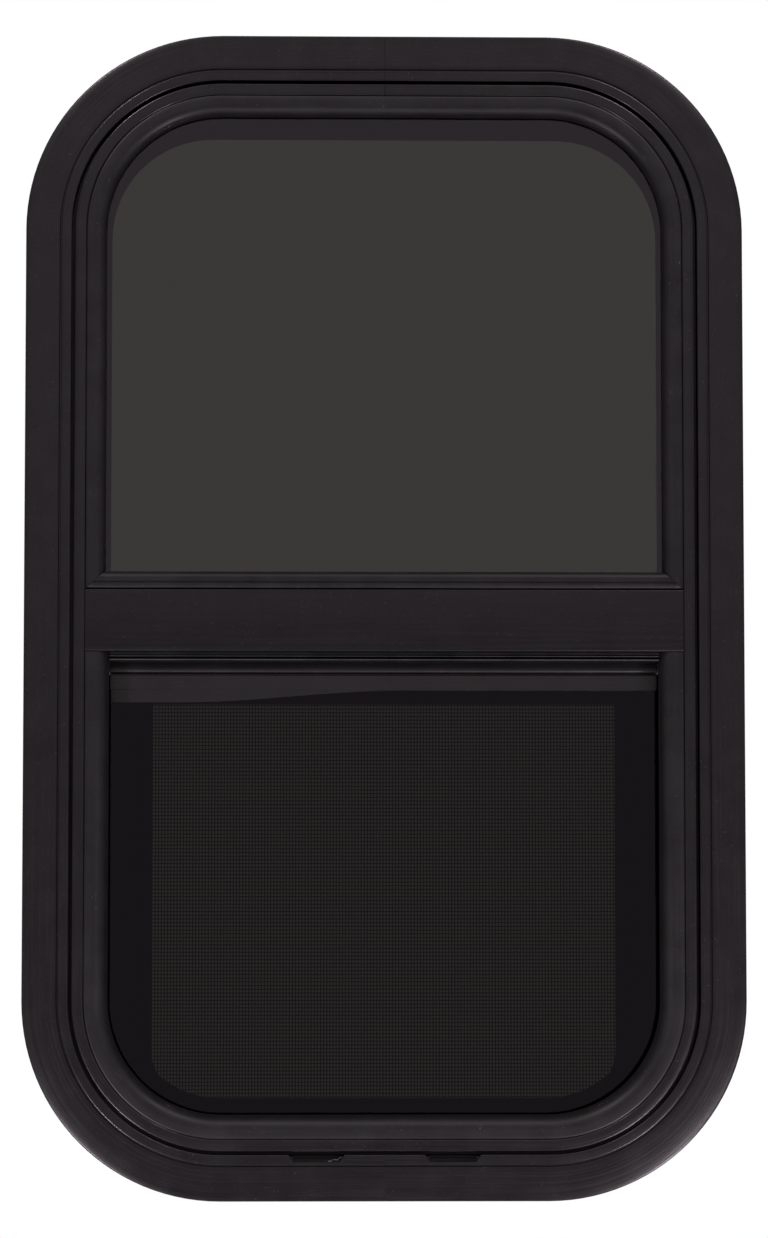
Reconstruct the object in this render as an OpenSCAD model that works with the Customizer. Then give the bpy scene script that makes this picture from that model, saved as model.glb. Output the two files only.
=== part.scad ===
// Vertical sliding window for a caravan wall.
// A flanged aluminium frame with round corners holds fixed glass in its upper half.
// A glass sash slides up behind the fixed glass, and an insect screen covers the lower half.
// A clamp ring on the room side grips the wall between itself and the mounting flange.
//
// Everything is drawn as seen from outside: X to the right, Y up, Z outwards.
// The module stand() then turns it upright, with the outside facing -Y.
// A frame section is a list of [inset, out] points: inset is measured inwards from the
// flange's outer edge, and out is measured outwards from the caravan's outer skin.

/* [Overall size] */
// Width over the mounting flange
frame_w = 340; // [320:1:380]
// Height over the mounting flange
frame_h = 551; // [530:1:620]
// Corner radius of the mounting flange
corner_r = 93; // [88:1:108]
// Thickness of the caravan wall between flange and clamp ring
wall_depth = 38; // [37:1:50]

/* [Mounting flange] */
// Width of the flat flange that covers the wall cut-out
flange_w = 16.2; // [14:0.1:19]
// Thickness of the flange
flange_t = 2; // [1.6:0.1:2.6]
// Width of the raised lip beside the drain gutter
lip_w = 4.8; // [4.2:0.1:5.4]
// Height of the raised lip over the flange
lip_h = 1.8; // [1.4:0.1:2.6]
// Opening of the drain gutter behind the lip
gutter_w = 1.6; // [1.2:0.1:2]
// Length of a drain notch at the lip's edge
notch_len = 26.4; // [16:0.2:36]
// Distance of each drain notch from the window's centre line
notch_at = 31.9; // [20:0.1:60]
// Depth of a drain notch into the lip
notch_cut = 3.4; // [2:0.1:4]

/* [Glazing frame] */
// Wall thickness of the frame extrusion
wall_t = 1.6; // [1.2:0.1:1.8]
// Width of the flat face beside the glazing bead
face_w = 5.4; // [4.8:0.1:6.2]
// Depth of the glazing ledge behind the wall's outer skin
ledge_depth = 10; // [9:0.1:11]
// Width of the slot that takes the clamp screws
port_w = 3.4; // [3.3:0.1:3.8]
// Gap of the butt joint where the bent frame closes
butt_gap = 0.2; // [0.1:0.05:0.4]
// Width of the plate that ties the butt joint
joint_plate_w = 60; // [40:1:90]
// Thickness of that plate
joint_plate_t = 1.4; // [1:0.1:2]

/* [Fixed glass] */
// Thickness of the fixed glass
glass_t = 4; // [3:0.1:5]
// Thickness of the foam tape under the fixed glass
tape_t = 0.8; // [0.5:0.1:1.2]
// Width of the rubber bead round the fixed glass
bead_w = 9.2; // [8:0.1:10.4]
// Width of the bead's rounded shoulder
bead_roll = 4.9; // [3:0.1:6]
// Height of the bead strip on the middle bar
strip_h = 8.4; // [7.6:0.1:9.4]

/* [Middle bar] */
// Height of the middle bar
bar_h = 29.2; // [26:0.1:36]
// Height of the bar's top above the window's centre
bar_top = 11; // [4:0.1:20]
// How far the bar's face stands back from the frame's face
bar_back = 0.4; // [0.2:0.1:1]
// Height of the seal under the bar
seal_h = 4.4; // [4:0.1:5]

/* [Sliding sash] */
// Thickness of the sash glass
sash_t = 4; // [3:0.1:5]
// Air gap between the sash and the fixed glass ledge
sash_clear = 5; // [5:0.1:7]
// Running gap on each face of the sash glass
run_gap = 1; // [0.8:0.1:1.4]
// Side gap between the sash glass and the bottom of its track
side_gap = 1.2; // [0.8:0.1:2]
// Gap between the sash glass and the track that it rests on
foot_gap = 0.3; // [0.2:0.1:0.6]
// Height of the sash rail
rail_h = 21.2; // [20:0.1:24]
// Height of the rail's rounded nose above the rail's foot
nose_at = 8; // [7:0.1:9]
// How far the sash rail reaches up behind the middle bar
rail_lap = 4.1; // [3:0.1:6]
// Width of the finger pull on the rail
pull_w = 70; // [40:1:100]
// How far the finger pull stands out into the room
pull_d = 11; // [9:0.1:12]
// Height of the finger pull
pull_h = 5.6; // [5:0.1:6]

/* [Latches] */
// Step between two holding positions of the sash
latch_step = 50; // [30:1:80]
// Length of a latch housing
latch_len = 26; // [22:0.5:30]
// Height of a latch housing
latch_h = 5.6; // [5.2:0.1:6]
// Depth of a latch housing
latch_d = 8.4; // [8:0.1:9]
// Radius of a latch bolt
bolt_r = 1.6; // [1.4:0.05:1.7]
// Clearance round a bolt in its housing
bolt_fit = 0.2; // [0.1:0.05:0.4]
// Travel of the finger tab in the housing's slot
tab_travel = 9; // [6:0.5:10]
// Thickness of the keeper strips
keeper_t = 1; // [0.8:0.1:1.4]
// Width of the keeper strips
keeper_w = 6; // [5:0.1:7]
// Gap between the drawn-back bolt and the keeper
bolt_gap = 0.6; // [0.4:0.1:1]

/* [Insect screen] */
// Width of the screen frame's bars
screen_bar = 8.4; // [7:0.1:10]
// Thickness of the screen frame
screen_t = 5; // [4:0.1:6]
// Width of the screen frame's top bar
screen_top = 7; // [6:0.1:9]
// Thickness of the insect mesh
mesh_t = 0.4; // [0.3:0.1:0.6]
// Width of the groove that takes the mesh and its spline
spline_w = 3; // [2.6:0.1:3.4]
// Depth of that groove
spline_d = 2.5; // [2:0.1:3]
// Width of a screen clip
clip_w = 14; // [10:0.5:20]
// Thickness of a screen clip
clip_t = 1.2; // [1:0.1:1.6]
// How far a clip reaches over the screen frame
clip_reach = 3.6; // [3:0.1:5]
// Spacing of the two clips on each side
clip_step = 100; // [60:1:110]

/* [Clamp ring] */
// Distance from the flange's edge to the clamp ring's edge
trim_inset = 6; // [2:0.1:10]
// Thickness of the clamp ring
trim_t = 1.8; // [1.4:0.1:2.2]
// Radius of the clamp screws' shanks
screw_r = 1.6; // [1.5:0.05:1.65]
// Radius of the clamp screws' heads
head_r = 3.6; // [3:0.1:4.2]
// Height of the clamp screws' heads
head_h = 2.2; // [1.8:0.1:2.6]
// Length of the clamp screws under the head
screw_len = 12; // [10:0.5:13]
// Spacing of the clamp screws along the sides
screw_step = 100; // [80:1:110]

/* [Hidden] */
$fn = 96;

coat = [0.16, 0.157, 0.168];
rubber = [0.13, 0.128, 0.135];
tint = [0.24, 0.235, 0.223, 0.75];
plastic = [0.09, 0.09, 0.095];
steel = [0.62, 0.62, 0.63];

// Half sizes and the centres of the corner bends
half_w = frame_w / 2;
half_h = frame_h / 2;
bend_x = half_w - corner_r;
bend_y = half_h - corner_r;

// Gap between pieces that touch round the bends
seat_gap = 0.1;
// Depth of small edge roundings on extrusions
edge = 0.6;

// Insets of the mounting flange
groove_w = 0.8;
in_lip = flange_w + groove_w;
in_gutter = in_lip + lip_w;
in_flange = in_gutter - 1.2;
in_seat = in_lip + 0.4;
step_d = 0.5;

// Insets of the glazing frame
in_shoulder = in_lip + 0.8;
in_web = in_shoulder + wall_t;
in_web_back = in_web + wall_t;
in_face = in_gutter + gutter_w;
in_pocket = in_face + face_w;
in_leg = in_pocket - 2;
in_bead = in_pocket + bead_w;
ledge_lap = 1.1;
in_ledge = in_bead + ledge_lap;
in_port = in_web_back + port_w;
in_port_back = in_port + 1.4;
in_screw = in_web_back + port_w / 2;
in_track = in_pocket + 2.4;
in_track_base = in_track + 2;
in_rear = in_ledge - 1.2;
in_glass = in_pocket + 1.4;

// Levels outwards from the caravan's skin, negative ones lie inside the wall
out_lip = flange_t + lip_h;
out_face = out_lip;
out_ledge = -ledge_depth;
out_ledge_back = out_ledge - wall_t;
out_glass_back = out_ledge + tape_t;
out_glass = out_glass_back + glass_t;
out_bead = out_face - 0.4;
out_bar = out_face - bar_back;
out_nose = out_ledge_back - sash_clear;
nose_t = 0.7;
out_rail = out_nose - nose_t;
rail_lip = 1;
glass_fit = 0.1;
out_sash = out_rail - rail_lip - glass_fit;
out_sash_back = out_sash - sash_t;
track_t = 1.2;
out_rear = out_sash_back - run_gap - track_t;
out_rear_back = out_rear - wall_t;
out_rail_back = out_rear;
out_screen = out_rear_back - 3.4;
out_screen_back = out_screen - screen_t;
out_trim = -wall_depth;
out_trim_face = out_trim - trim_t;
out_web_end = out_trim + 2;

// Heights of the bar, the sash rail and the screen
bar_bottom = bar_top - bar_h;
rail_top = bar_bottom + rail_lap;
rail_foot = rail_top - rail_h;
nose_foot = rail_foot + nose_at;
glass_top = nose_foot - 0.7;
screen_head = rail_foot + 1;
latch_y = rail_foot + 8.8;
latch_out = out_rail_back - latch_d + 3;
tab_w = 3;
tab_h = 2.4;

// The keepers run up as far as the straight sides do
keeper_end = 4.2;
keeper_holes = 1 + floor((bend_y - 1 - latch_y - keeper_end) / latch_step);

// Clearance round a screw in its hole, and round a bolt in the keeper
hole_fit = 0.4;

// Half lengths of the bar and the rail
bar_half = half_w - in_pocket - 0.2;
bar_half_back = half_w - in_ledge - 0.2;
rail_half = half_w - in_ledge - 1;
bead_lip = 0.7;
seal_half = half_w - in_ledge - bead_lip - 0.3;
screen_half = half_w - in_rear - 0.4 - screen_bar - 0.2;

// Points on an arc about c, from angle a to angle b in n steps
function arc(c, r, a, b, n = 6) =
  [for (i = [0:n]) [c[0] + r * cos(a + (b - a) * i / n), c[1] + r * sin(a + (b - a) * i / n)]];

// A section with its insets measured from the centre of a bend
function from_bend(section) = [for (p = section) [corner_r - p[0], p[1]]];

// Turns the drawing upright, with the origin in the middle of the flange's bottom strip
module stand() translate([0, 0, half_h - flange_w / 2]) rotate([90, 0, 0]) children();

// A section along the left (-1) or right (1) side, between two heights
module upright(section, side, from, to)
  translate([side * bend_x, to, 0])
    rotate([90, 0, 0])
      linear_extrude(height = to - from)
        polygon([for (p = from_bend(section)) [side * p[0], p[1]]]);

// A section along the foot (-1) or the head (1)
module level(section, side)
  rotate([0, 0, 90])
    translate([side * bend_y, bend_x, 0])
      rotate([90, 0, 0])
        linear_extrude(height = 2 * bend_x)
          polygon([for (p = from_bend(section)) [side * p[0], p[1]]]);

// A section round one bend: 0 head right, 1 head left, 2 foot left, 3 foot right
module bend(section, corner)
  translate([(corner == 0 || corner == 3 ? 1 : -1) * bend_x, (corner < 2 ? 1 : -1) * bend_y, 0])
    rotate([0, 0, 90 * corner])
      rotate_extrude(angle = 90)
        polygon(from_bend(section));

// A section carried all the way round
module hoop(section) {
  for (corner = [0:3]) bend(section, corner);
  for (side = [-1, 1]) {
    upright(section, side, -bend_y, bend_y);
    level(section, side);
  }
}

// A section carried round the foot and up both sides to a height
module foot_loop(section, top) {
  bend(section, 2);
  bend(section, 3);
  level(section, -1);
  for (side = [-1, 1]) upright(section, side, -bend_y, top);
}

// A section carried round the head and down both sides to a height
module head_loop(section, bottom) {
  bend(section, 0);
  bend(section, 1);
  level(section, 1);
  for (side = [-1, 1]) upright(section, side, bottom, bend_y);
}

// A straight bar along X whose section is a list of [height, out] points
module crossbar(section, half)
  translate([-half, 0, 0])
    rotate([90, 0, 90])
      linear_extrude(height = 2 * half)
        polygon(section);

// A box between two opposite corners
module block(low, high) translate(low) cube([high[0] - low[0], high[1] - low[1], high[2] - low[2]]);

// Outline of a plate under the head, straight along the bottom
module head_outline(inset, bottom) {
  translate([inset - half_w, bottom]) square([2 * (half_w - inset), bend_y - bottom]);
  translate([-bend_x, bottom]) square([2 * bend_x, half_h - inset - bottom]);
  for (side = [-1, 1]) translate([side * bend_x, bend_y]) circle(r = corner_r - inset);
}

// Outline of a plate above the foot, straight along the top
module foot_outline(inset, top) {
  translate([inset - half_w, -bend_y]) square([2 * (half_w - inset), top + bend_y]);
  translate([-bend_x, inset - half_h]) square([2 * bend_x, top + half_h - inset]);
  for (side = [-1, 1]) translate([side * bend_x, -bend_y]) circle(r = corner_r - inset);
}

// The butt joint where a bent frame closes, at the middle of the head
module butt_joint() block([-butt_gap / 2, bend_y, out_trim], [butt_gap / 2, half_h + 1, out_lip + 1]);

// Flat outer flange with its raised lip beside the gutter
module mounting_flange() {
  section = concat(
    [[0, 0], [0, flange_t - 0.8]],
    arc([0.8, flange_t - 0.8], 0.8, 180, 90, 3),
    [[flange_w, flange_t], [flange_w + 0.2, flange_t - 0.5], [in_lip - 0.2, flange_t - 0.5]],
    arc([in_lip + edge, out_lip - edge], edge, 180, 90, 3),
    arc([in_gutter - edge, out_lip - edge], edge, 90, 0, 3),
    [[in_gutter, flange_t], [in_flange, flange_t], [in_flange, step_d], [in_seat, step_d], [in_seat, 0]]
  );
  color(coat) stand() difference() {
    hoop(section);
    butt_joint();
    for (side = [-1, 1]) translate([side * notch_at, 0, -1]) drain_notch();
  }
}

// A drain notch through the lip at the foot
module drain_notch() {
  mouth = in_gutter - half_h;
  slope = 2.4;
  linear_extrude(height = out_lip + 2)
    polygon([
      [-notch_len / 2, mouth + 1], [notch_len / 2, mouth + 1], [notch_len / 2, mouth],
      [notch_len / 2 - slope, mouth - notch_cut], [slope - notch_len / 2, mouth - notch_cut],
      [-notch_len / 2, mouth]
    ]);
}

// The extrusion through the wall: gutter, face, glazing ledge, sash channel and screw slot
module glazing_frame() {
  section = concat(
    [[in_shoulder, step_d], [in_web_back, step_d], [in_web_back, out_ledge], [in_leg, out_ledge]],
    [[in_leg, out_face - wall_t], [in_face, out_face - wall_t]],
    arc([in_face + edge, out_face - edge], edge, 180, 90, 3),
    arc([in_pocket - edge, out_face - edge], edge, 90, 0, 3),
    [[in_pocket, out_ledge], [in_ledge, out_ledge], [in_ledge, out_ledge_back]],
    [[in_web_back, out_ledge_back], [in_web_back, out_rear]],
    [[in_rear, out_rear], [in_rear, out_rear_back], [in_port_back, out_rear_back]],
    [[in_port_back, out_web_end], [in_port, out_web_end], [in_port, out_rear_back]],
    [[in_web_back, out_rear_back], [in_web_back, out_web_end], [in_web, out_web_end]],
    [[in_web, step_d - wall_t], [in_shoulder, step_d - wall_t]]
  );
  color(coat) stand() difference() {
    hoop(section);
    butt_joint();
  }
}

// Plate that ties the frame's two ends together over the butt joint
module frame_joint_plate() {
  face = half_h - in_web;
  color(steel) stand()
    block([-joint_plate_w / 2, face, out_web_end + 6], [joint_plate_w / 2, face + joint_plate_t, -6]);
}

// The corner that the bead and its strip share, as a triangle on one side
module mitre(side, over) {
  x_out = half_w - in_pocket;
  x_in = half_w - in_bead;
  y_low = bar_top + seat_gap;
  y_high = bar_top + strip_h;
  corner = over ? [x_out, y_high] : [x_in, y_low];
  reach = over ? 1 : -1;
  linear_extrude(height = out_face - out_glass + 2)
    polygon([
      [side * (x_out + 1), y_low - 1 * (y_high - y_low) / bead_w],
      [side * (x_in - 1), y_high + 1 * (y_high - y_low) / bead_w],
      [side * (corner[0] + reach * 20), corner[1] + reach * 20]
    ]);
}

// Rubber bead round the fixed glass, from the middle bar over the head
module upper_bead() {
  inner = in_bead;
  base = out_glass;
  section = concat(
    [[in_pocket + seat_gap, base], [in_pocket + seat_gap, out_bead]],
    arc([inner - bead_roll, out_bead - bead_roll], bead_roll, 90, 0, 8),
    [[inner, base]]
  );
  color(rubber) stand() difference() {
    head_loop(section, bar_top + seat_gap);
    for (side = [-1, 1]) translate([0, 0, base - 1]) mitre(side, false);
  }
}

// The bead's straight strip on top of the middle bar
module upper_bead_strip() {
  roll = 3;
  foot = bar_top + seat_gap;
  head = bar_top + strip_h;
  section = concat(
    [[foot, out_glass], [foot, out_bead], [foot + 3, out_bead]],
    [[foot + 3.2, out_bead - 0.4], [foot + 3.6, out_bead - 0.4], [foot + 3.8, out_bead]],
    arc([head - roll, out_bead - roll], roll, 90, 0, 6),
    [[head, out_glass]]
  );
  color(rubber) stand() difference() {
    crossbar(section, half_w - in_pocket - seat_gap);
    for (side = [-1, 1]) translate([0, -seat_gap, out_glass - 1]) mitre(side, true);
  }
}

// Fixed glass in the upper half
module upper_glass() {
  color(tint) stand()
    translate([0, 0, out_glass_back])
      linear_extrude(height = glass_t)
        head_outline(in_glass, bar_top + wall_t);
}

// Foam tape between the fixed glass and its ledge
module glazing_tape() {
  section = [
    [in_glass + 1, out_ledge], [in_glass + 1, out_glass_back],
    [in_ledge - 0.8, out_glass_back], [in_ledge - 0.8, out_ledge]
  ];
  foot = bar_top + wall_t;
  color(rubber) stand() {
    head_loop(section, foot);
    block(
      [in_glass + 1 - half_w, foot, out_ledge],
      [half_w - in_glass - 1, bar_top + strip_h - 0.8, out_glass_back]
    );
  }
}

// Two blocks that the fixed glass stands on
module setting_blocks() {
  block_w = 24;
  color(plastic) stand()
    for (side = [-1, 1])
      translate([side * half_w / 2, 0, 0])
        block([-block_w / 2, bar_top, out_glass_back], [block_w / 2, bar_top + wall_t, out_glass]);
}

// Middle bar between the fixed glass and the sash
module middle_bar() {
  foot = bar_bottom;
  section = [
    [bar_top, out_ledge], [bar_top, out_bar - 0.4], [bar_top - 0.4, out_bar],
    [foot + 0.6, out_bar], [foot, out_bar - 0.6], [foot, out_ledge], [foot + wall_t, out_ledge],
    [foot + wall_t, out_bar - wall_t], [bar_top - wall_t, out_bar - wall_t],
    [bar_top - wall_t, out_ledge_back], [bar_top + strip_h, out_ledge_back],
    [bar_top + strip_h, out_ledge]
  ];
  color(coat) stand() difference() {
    crossbar(section, bar_half);
    for (side = [-1, 1])
      translate([side * (bar_half_back + 20), 0, out_ledge - 5])
        block([-20, foot - 1, 0], [20, bar_top + strip_h + 1, 5]);
  }
}

// Angle brackets that fix the bar's ends to the glazing frame
module bar_brackets() {
  foot_w = 10;
  foot = bar_bottom + 4;
  head = bar_top - 4;
  color(steel) stand()
    for (side = [-1, 1])
      mirror([side < 0 ? 1 : 0, 0, 0]) {
        block([bar_half - wall_t, foot, out_ledge], [bar_half, head, out_bar - wall_t]);
        block([bar_half - foot_w, foot, out_ledge], [bar_half, head, out_ledge + wall_t]);
      }
}

// Rubber seal under the bar, which wipes the sash rail
module bar_seal() {
  head = bar_bottom;
  foot = head - seal_h;
  front = out_ledge + 7.4;
  tip = out_nose + 0.5;
  section = concat(
    [[head, front], [head - 1.2, front], [head - 1.5, front - 1], [head - 2.2, front - 1]],
    arc([foot + 0.8, front - 1.4], 0.8, 0, 180, 4),
    [[foot, tip], [foot + 1.4, tip], [foot + 1.4, front - 3], [head - 1.4, front - 3]],
    [[head - 1.4, out_ledge], [head, out_ledge]]
  );
  color(rubber) stand() crossbar(section, seal_half);
}

// Rubber bead round the sash opening, from the bar's foot round the bottom
module lower_bead() {
  inner = in_ledge + bead_lip;
  roll = 6.9;
  thick = 1.6;
  centre = [inner - roll, out_bead - roll];
  section = concat(
    [[in_pocket + seat_gap, out_ledge], [in_pocket + seat_gap, out_bead]],
    arc(centre, roll, 90, 0, 8),
    [[inner, out_ledge_back], [in_ledge + seat_gap, out_ledge_back]],
    [[in_ledge + seat_gap, out_ledge], [inner - thick, out_ledge]],
    arc(centre, roll - thick, 0, 90, 8),
    [[in_pocket + thick, out_bead - thick], [in_pocket + thick, out_ledge]]
  );
  color(rubber) stand() foot_loop(section, bar_bottom - 0.2);
}

// Lined channel that guides the sash glass at both sides and along the bottom
module sash_track() {
  front = out_sash + run_gap;
  back = out_sash_back - run_gap;
  section = [
    [in_track, out_ledge_back], [in_track_base, out_ledge_back], [in_track_base, front + track_t],
    [in_rear, front + track_t], [in_rear, front], [in_track_base, front], [in_track_base, back],
    [in_rear, back], [in_rear, out_rear], [in_track, out_rear]
  ];
  color(plastic) stand() foot_loop(section, bend_y);
}

// Sash glass, with its bottom corners round to fit the track
module sash_glass() {
  radius = corner_r - in_track_base;
  half = half_w - in_track_base - side_gap;
  foot = in_track_base + foot_gap - half_h;
  color(tint) stand()
    translate([0, 0, out_sash_back])
      linear_extrude(height = sash_t) {
        translate([-half, foot + radius]) square([2 * half, glass_top - foot - radius]);
        translate([radius - half, foot]) square([2 * (half - radius), glass_top - foot]);
        for (side = [-1, 1])
          translate([side * (half - radius), foot + radius]) circle(r = radius);
      }
}

// Rail along the top of the sash glass, with a rounded nose
module sash_rail() {
  slot_front = out_sash + glass_fit;
  slot_back = out_sash_back - glass_fit;
  slot_top = glass_top + 0.2;
  floor_top = slot_top + wall_t;
  section = concat(
    [[rail_foot, out_rail], [nose_foot - 1.2, out_rail], [nose_foot - 0.9, out_rail - 0.4]],
    [[nose_foot - 0.5, out_rail - 0.4]],
    arc([nose_foot + 1.4, out_nose - 1.4], 1.4, 180, 90, 4),
    [[rail_top - 0.4, out_nose], [rail_top, out_nose - 0.4]],
    [[rail_top, out_nose - wall_t], [floor_top, out_nose - wall_t]],
    [[floor_top, out_rail_back + wall_t], [rail_top, out_rail_back + wall_t]],
    [[rail_top, out_rail_back], [rail_foot, out_rail_back], [rail_foot, slot_back]],
    [[slot_top, slot_back], [slot_top, slot_front], [rail_foot, slot_front]]
  );
  color(coat) stand() crossbar(section, rail_half);
}

// Finger pull on the room side of the rail
module sash_pull() {
  head = latch_y + latch_h / 2;
  deep = out_rail_back - pull_d;
  section = [
    [head, out_rail_back], [head, deep + edge], [head - edge, deep], [head - pull_h, deep],
    [head - pull_h, deep + wall_t], [head - wall_t - edge, deep + wall_t],
    [head - wall_t, deep + wall_t + edge], [head - wall_t, out_rail_back]
  ];
  color(coat) stand() crossbar(section, pull_w / 2);
}

// Housing of one latch, on the back of the rail near its end
module latch_body(side) {
  x_end = rail_half - 2;
  x_mid = x_end - latch_len / 2;
  deep = out_rail_back - latch_d;
  slot_half = tab_travel / 2 + tab_w / 2;
  color(plastic) stand() mirror([side < 0 ? 1 : 0, 0, 0]) difference() {
    block([x_end - latch_len, latch_y - latch_h / 2, deep], [x_end, latch_y + latch_h / 2, out_rail_back]);
    translate([x_end - latch_len - 1, latch_y, latch_out])
      rotate([0, 90, 0]) cylinder(r = bolt_r + bolt_fit, h = latch_len + 2);
    block(
      [x_mid - slot_half, latch_y - tab_h / 2 - bolt_fit, deep - 1],
      [x_mid + slot_half, latch_y + tab_h / 2 + bolt_fit, latch_out]
    );
  }
}

// Bolt of one latch with its finger tab, drawn back clear of the keeper
module latch_bolt(side) {
  x_tip = half_w - in_rear - keeper_t - bolt_gap;
  x_tab = rail_half - 2 - latch_len / 2 - tab_travel / 2 + bolt_fit;
  x_back = rail_half - latch_len;
  color(steel) stand() mirror([side < 0 ? 1 : 0, 0, 0]) {
    translate([x_back, latch_y, latch_out]) rotate([0, 90, 0]) cylinder(r = bolt_r, h = x_tip - x_back);
    block(
      [x_tab - tab_w / 2, latch_y - tab_h / 2, out_rail_back - pull_d],
      [x_tab + tab_w / 2, latch_y + tab_h / 2, latch_out]
    );
  }
}

module latch_body_left() latch_body(-1);
module latch_body_right() latch_body(1);
module latch_bolt_left() latch_bolt(-1);
module latch_bolt_right() latch_bolt(1);

// Strip with holes that hold the sash at several heights
module keeper(side) {
  x_face = half_w - in_rear;
  color(steel) stand() mirror([side < 0 ? 1 : 0, 0, 0]) difference() {
    block(
      [x_face - keeper_t, latch_y - keeper_end, latch_out - keeper_w / 2],
      [x_face, latch_y + (keeper_holes - 1) * latch_step + keeper_end, latch_out + keeper_w / 2]
    );
    for (i = [0:keeper_holes - 1])
      translate([x_face - keeper_t - 1, latch_y + i * latch_step, latch_out])
        rotate([0, 90, 0]) cylinder(r = bolt_r + hole_fit, h = keeper_t + 2);
  }
}

module keeper_left() keeper(-1);
module keeper_right() keeper(1);

// Strip that the screen frame rests against
module screen_seat() {
  section = [
    [in_rear + seat_gap, out_screen], [in_rear + seat_gap, out_screen + 1.4],
    [in_rear + 3, out_screen + 1.4], [in_rear + 3, out_screen]
  ];
  color(plastic) stand() foot_loop(section, rail_foot - 5);
}

// Screen frame bent round the foot and up both sides, with a groove for the spline
module screen_frame() {
  outer = in_rear + 0.4;
  inner = outer + screen_bar;
  section = [
    [outer, out_screen_back], [outer, out_screen], [inner, out_screen],
    [inner, out_screen_back], [inner - 1.8, out_screen_back],
    [inner - 1.8, out_screen_back + spline_d], [inner - 1.8 - spline_w, out_screen_back + spline_d],
    [inner - 1.8 - spline_w, out_screen_back]
  ];
  color(plastic) stand() foot_loop(section, screen_head);
}

// Straight bar across the top of the screen
module screen_top_bar() {
  foot = screen_head - screen_top;
  section = [
    [foot, out_screen_back], [foot, out_screen], [screen_head, out_screen],
    [screen_head, out_screen_back], [foot + 1.8 + spline_w, out_screen_back],
    [foot + 1.8 + spline_w, out_screen_back + spline_d],
    [foot + 1.8, out_screen_back + spline_d], [foot + 1.8, out_screen_back]
  ];
  color(plastic) stand() crossbar(section, screen_half);
}

// Brush on the top bar that closes the gap to the sash glass
module screen_brush() {
  tip = out_sash_back - 0.6;
  head = rail_foot - 0.9;
  section = [
    [head - 3, out_screen], [head - 3, out_screen + 1.6], [head - 2.2, tip], [head - 0.8, tip],
    [head, out_screen + 1.6], [head, out_screen]
  ];
  color(rubber) stand() crossbar(section, screen_half);
}

// Insect mesh, drawn as a closed sheet
module screen_mesh() {
  groove = in_rear + 0.4 + screen_bar - 1.8 - spline_w / 2;
  color([0.1, 0.1, 0.1, 0.6]) stand()
    translate([0, 0, out_screen_back - mesh_t])
      linear_extrude(height = mesh_t)
        foot_outline(groove, screen_head - screen_top + 1.8 + spline_w / 2);
}

// Rubber spline that holds the mesh in its groove
module screen_spline() {
  inner = in_rear + 0.4 + screen_bar - 1.8 - 0.2;
  outer = inner - spline_w + 0.4;
  back = out_screen_back;
  section = [
    [outer, back], [outer, back + 1.6], [outer + 0.6, back + 2.3], [inner - 0.6, back + 2.3],
    [inner, back + 1.6], [inner, back]
  ];
  foot = screen_head - screen_top + 1.8;
  color(rubber) stand() {
    foot_loop(section, foot - 0.2);
    crossbar([
      [foot + 0.2, back], [foot + 0.2, back + 1.6], [foot + 0.8, back + 2.3],
      [foot + spline_w - 0.8, back + 2.3], [foot + spline_w - 0.2, back + 1.6],
      [foot + spline_w - 0.2, back]
    ], screen_half);
  }
}

// Four clips that hold the screen against its seat
module screen_clips() {
  x_face = half_w - in_rear;
  back = out_screen_back;
  half = clip_w / 2;
  middle = (screen_head - bend_y) / 2;
  color(plastic) stand()
    for (side = [-1, 1], y = [-1, 1])
      mirror([side < 0 ? 1 : 0, 0, 0])
        translate([0, middle + y * clip_step / 2, 0]) {
          block([x_face - clip_reach, -half, back - clip_t], [x_face, half, back]);
          block([x_face - clip_t, -half, out_trim_face + edge], [x_face, half, back]);
        }
}

// Trim ring on the room side, with a leg that reaches out to the glazing frame
module clamp_ring() {
  leg = in_rear - wall_t;
  grip = in_shoulder + 0.4;
  relief = 0.3;
  section = concat(
    [[trim_inset, out_trim], [grip, out_trim], [grip, out_trim - relief]],
    [[leg, out_trim - relief], [leg, out_rear_back], [in_rear, out_rear_back]],
    arc([in_rear - edge, out_trim_face + edge], edge, 0, -90, 3),
    arc([trim_inset + edge, out_trim_face + edge], edge, -90, -180, 3)
  );
  color(coat) stand() difference() {
    hoop(section);
    for (at = screw_places) translate([at[0], at[1], out_trim_face - 1])
      cylinder(r = screw_r + hole_fit, h = trim_t + 2);
  }
}

// Clamp screws: four along each side, two along the head and two along the foot
screw_places = concat(
  [for (x = [-1, 1], y = [-1.5:1:1.5]) [x * (half_w - in_screw), y * screw_step]],
  [for (x = [-1, 1], y = [-1, 1]) [x * screw_step / 2, y * (half_h - in_screw)]]
);

// Pan-head screws through the clamp ring into the frame's screw slot
module clamp_screws() {
  color(steel) stand()
    for (at = screw_places) translate([at[0], at[1], out_trim_face]) {
      translate([0, 0, -head_h]) cylinder(r = head_r, h = head_h);
      cylinder(r = screw_r, h = screw_len);
    }
}

mounting_flange();
glazing_frame();
frame_joint_plate();
upper_bead();
upper_bead_strip();
upper_glass();
glazing_tape();
setting_blocks();
middle_bar();
bar_brackets();
bar_seal();
lower_bead();
sash_track();
sash_glass();
sash_rail();
sash_pull();
latch_body_left();
latch_body_right();
latch_bolt_left();
latch_bolt_right();
keeper_left();
keeper_right();
screen_seat();
screen_frame();
screen_top_bar();
screen_brush();
screen_mesh();
screen_spline();
screen_clips();
clamp_ring();
clamp_screws();
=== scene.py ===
"""Looks of a vertical sliding caravan window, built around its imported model.

Sizes in the classes are millimetres, drawn as seen from outside: X to the right, Y up from the
window's centre, and out towards the viewer. A section is a list of (inset, out) points, with
inset measured inwards from the flange's outer edge. Everything in Blender is in metres.
"""

import logging
import math
from dataclasses import dataclass, field
from enum import Enum
from typing import Callable, Iterable, Sequence

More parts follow.
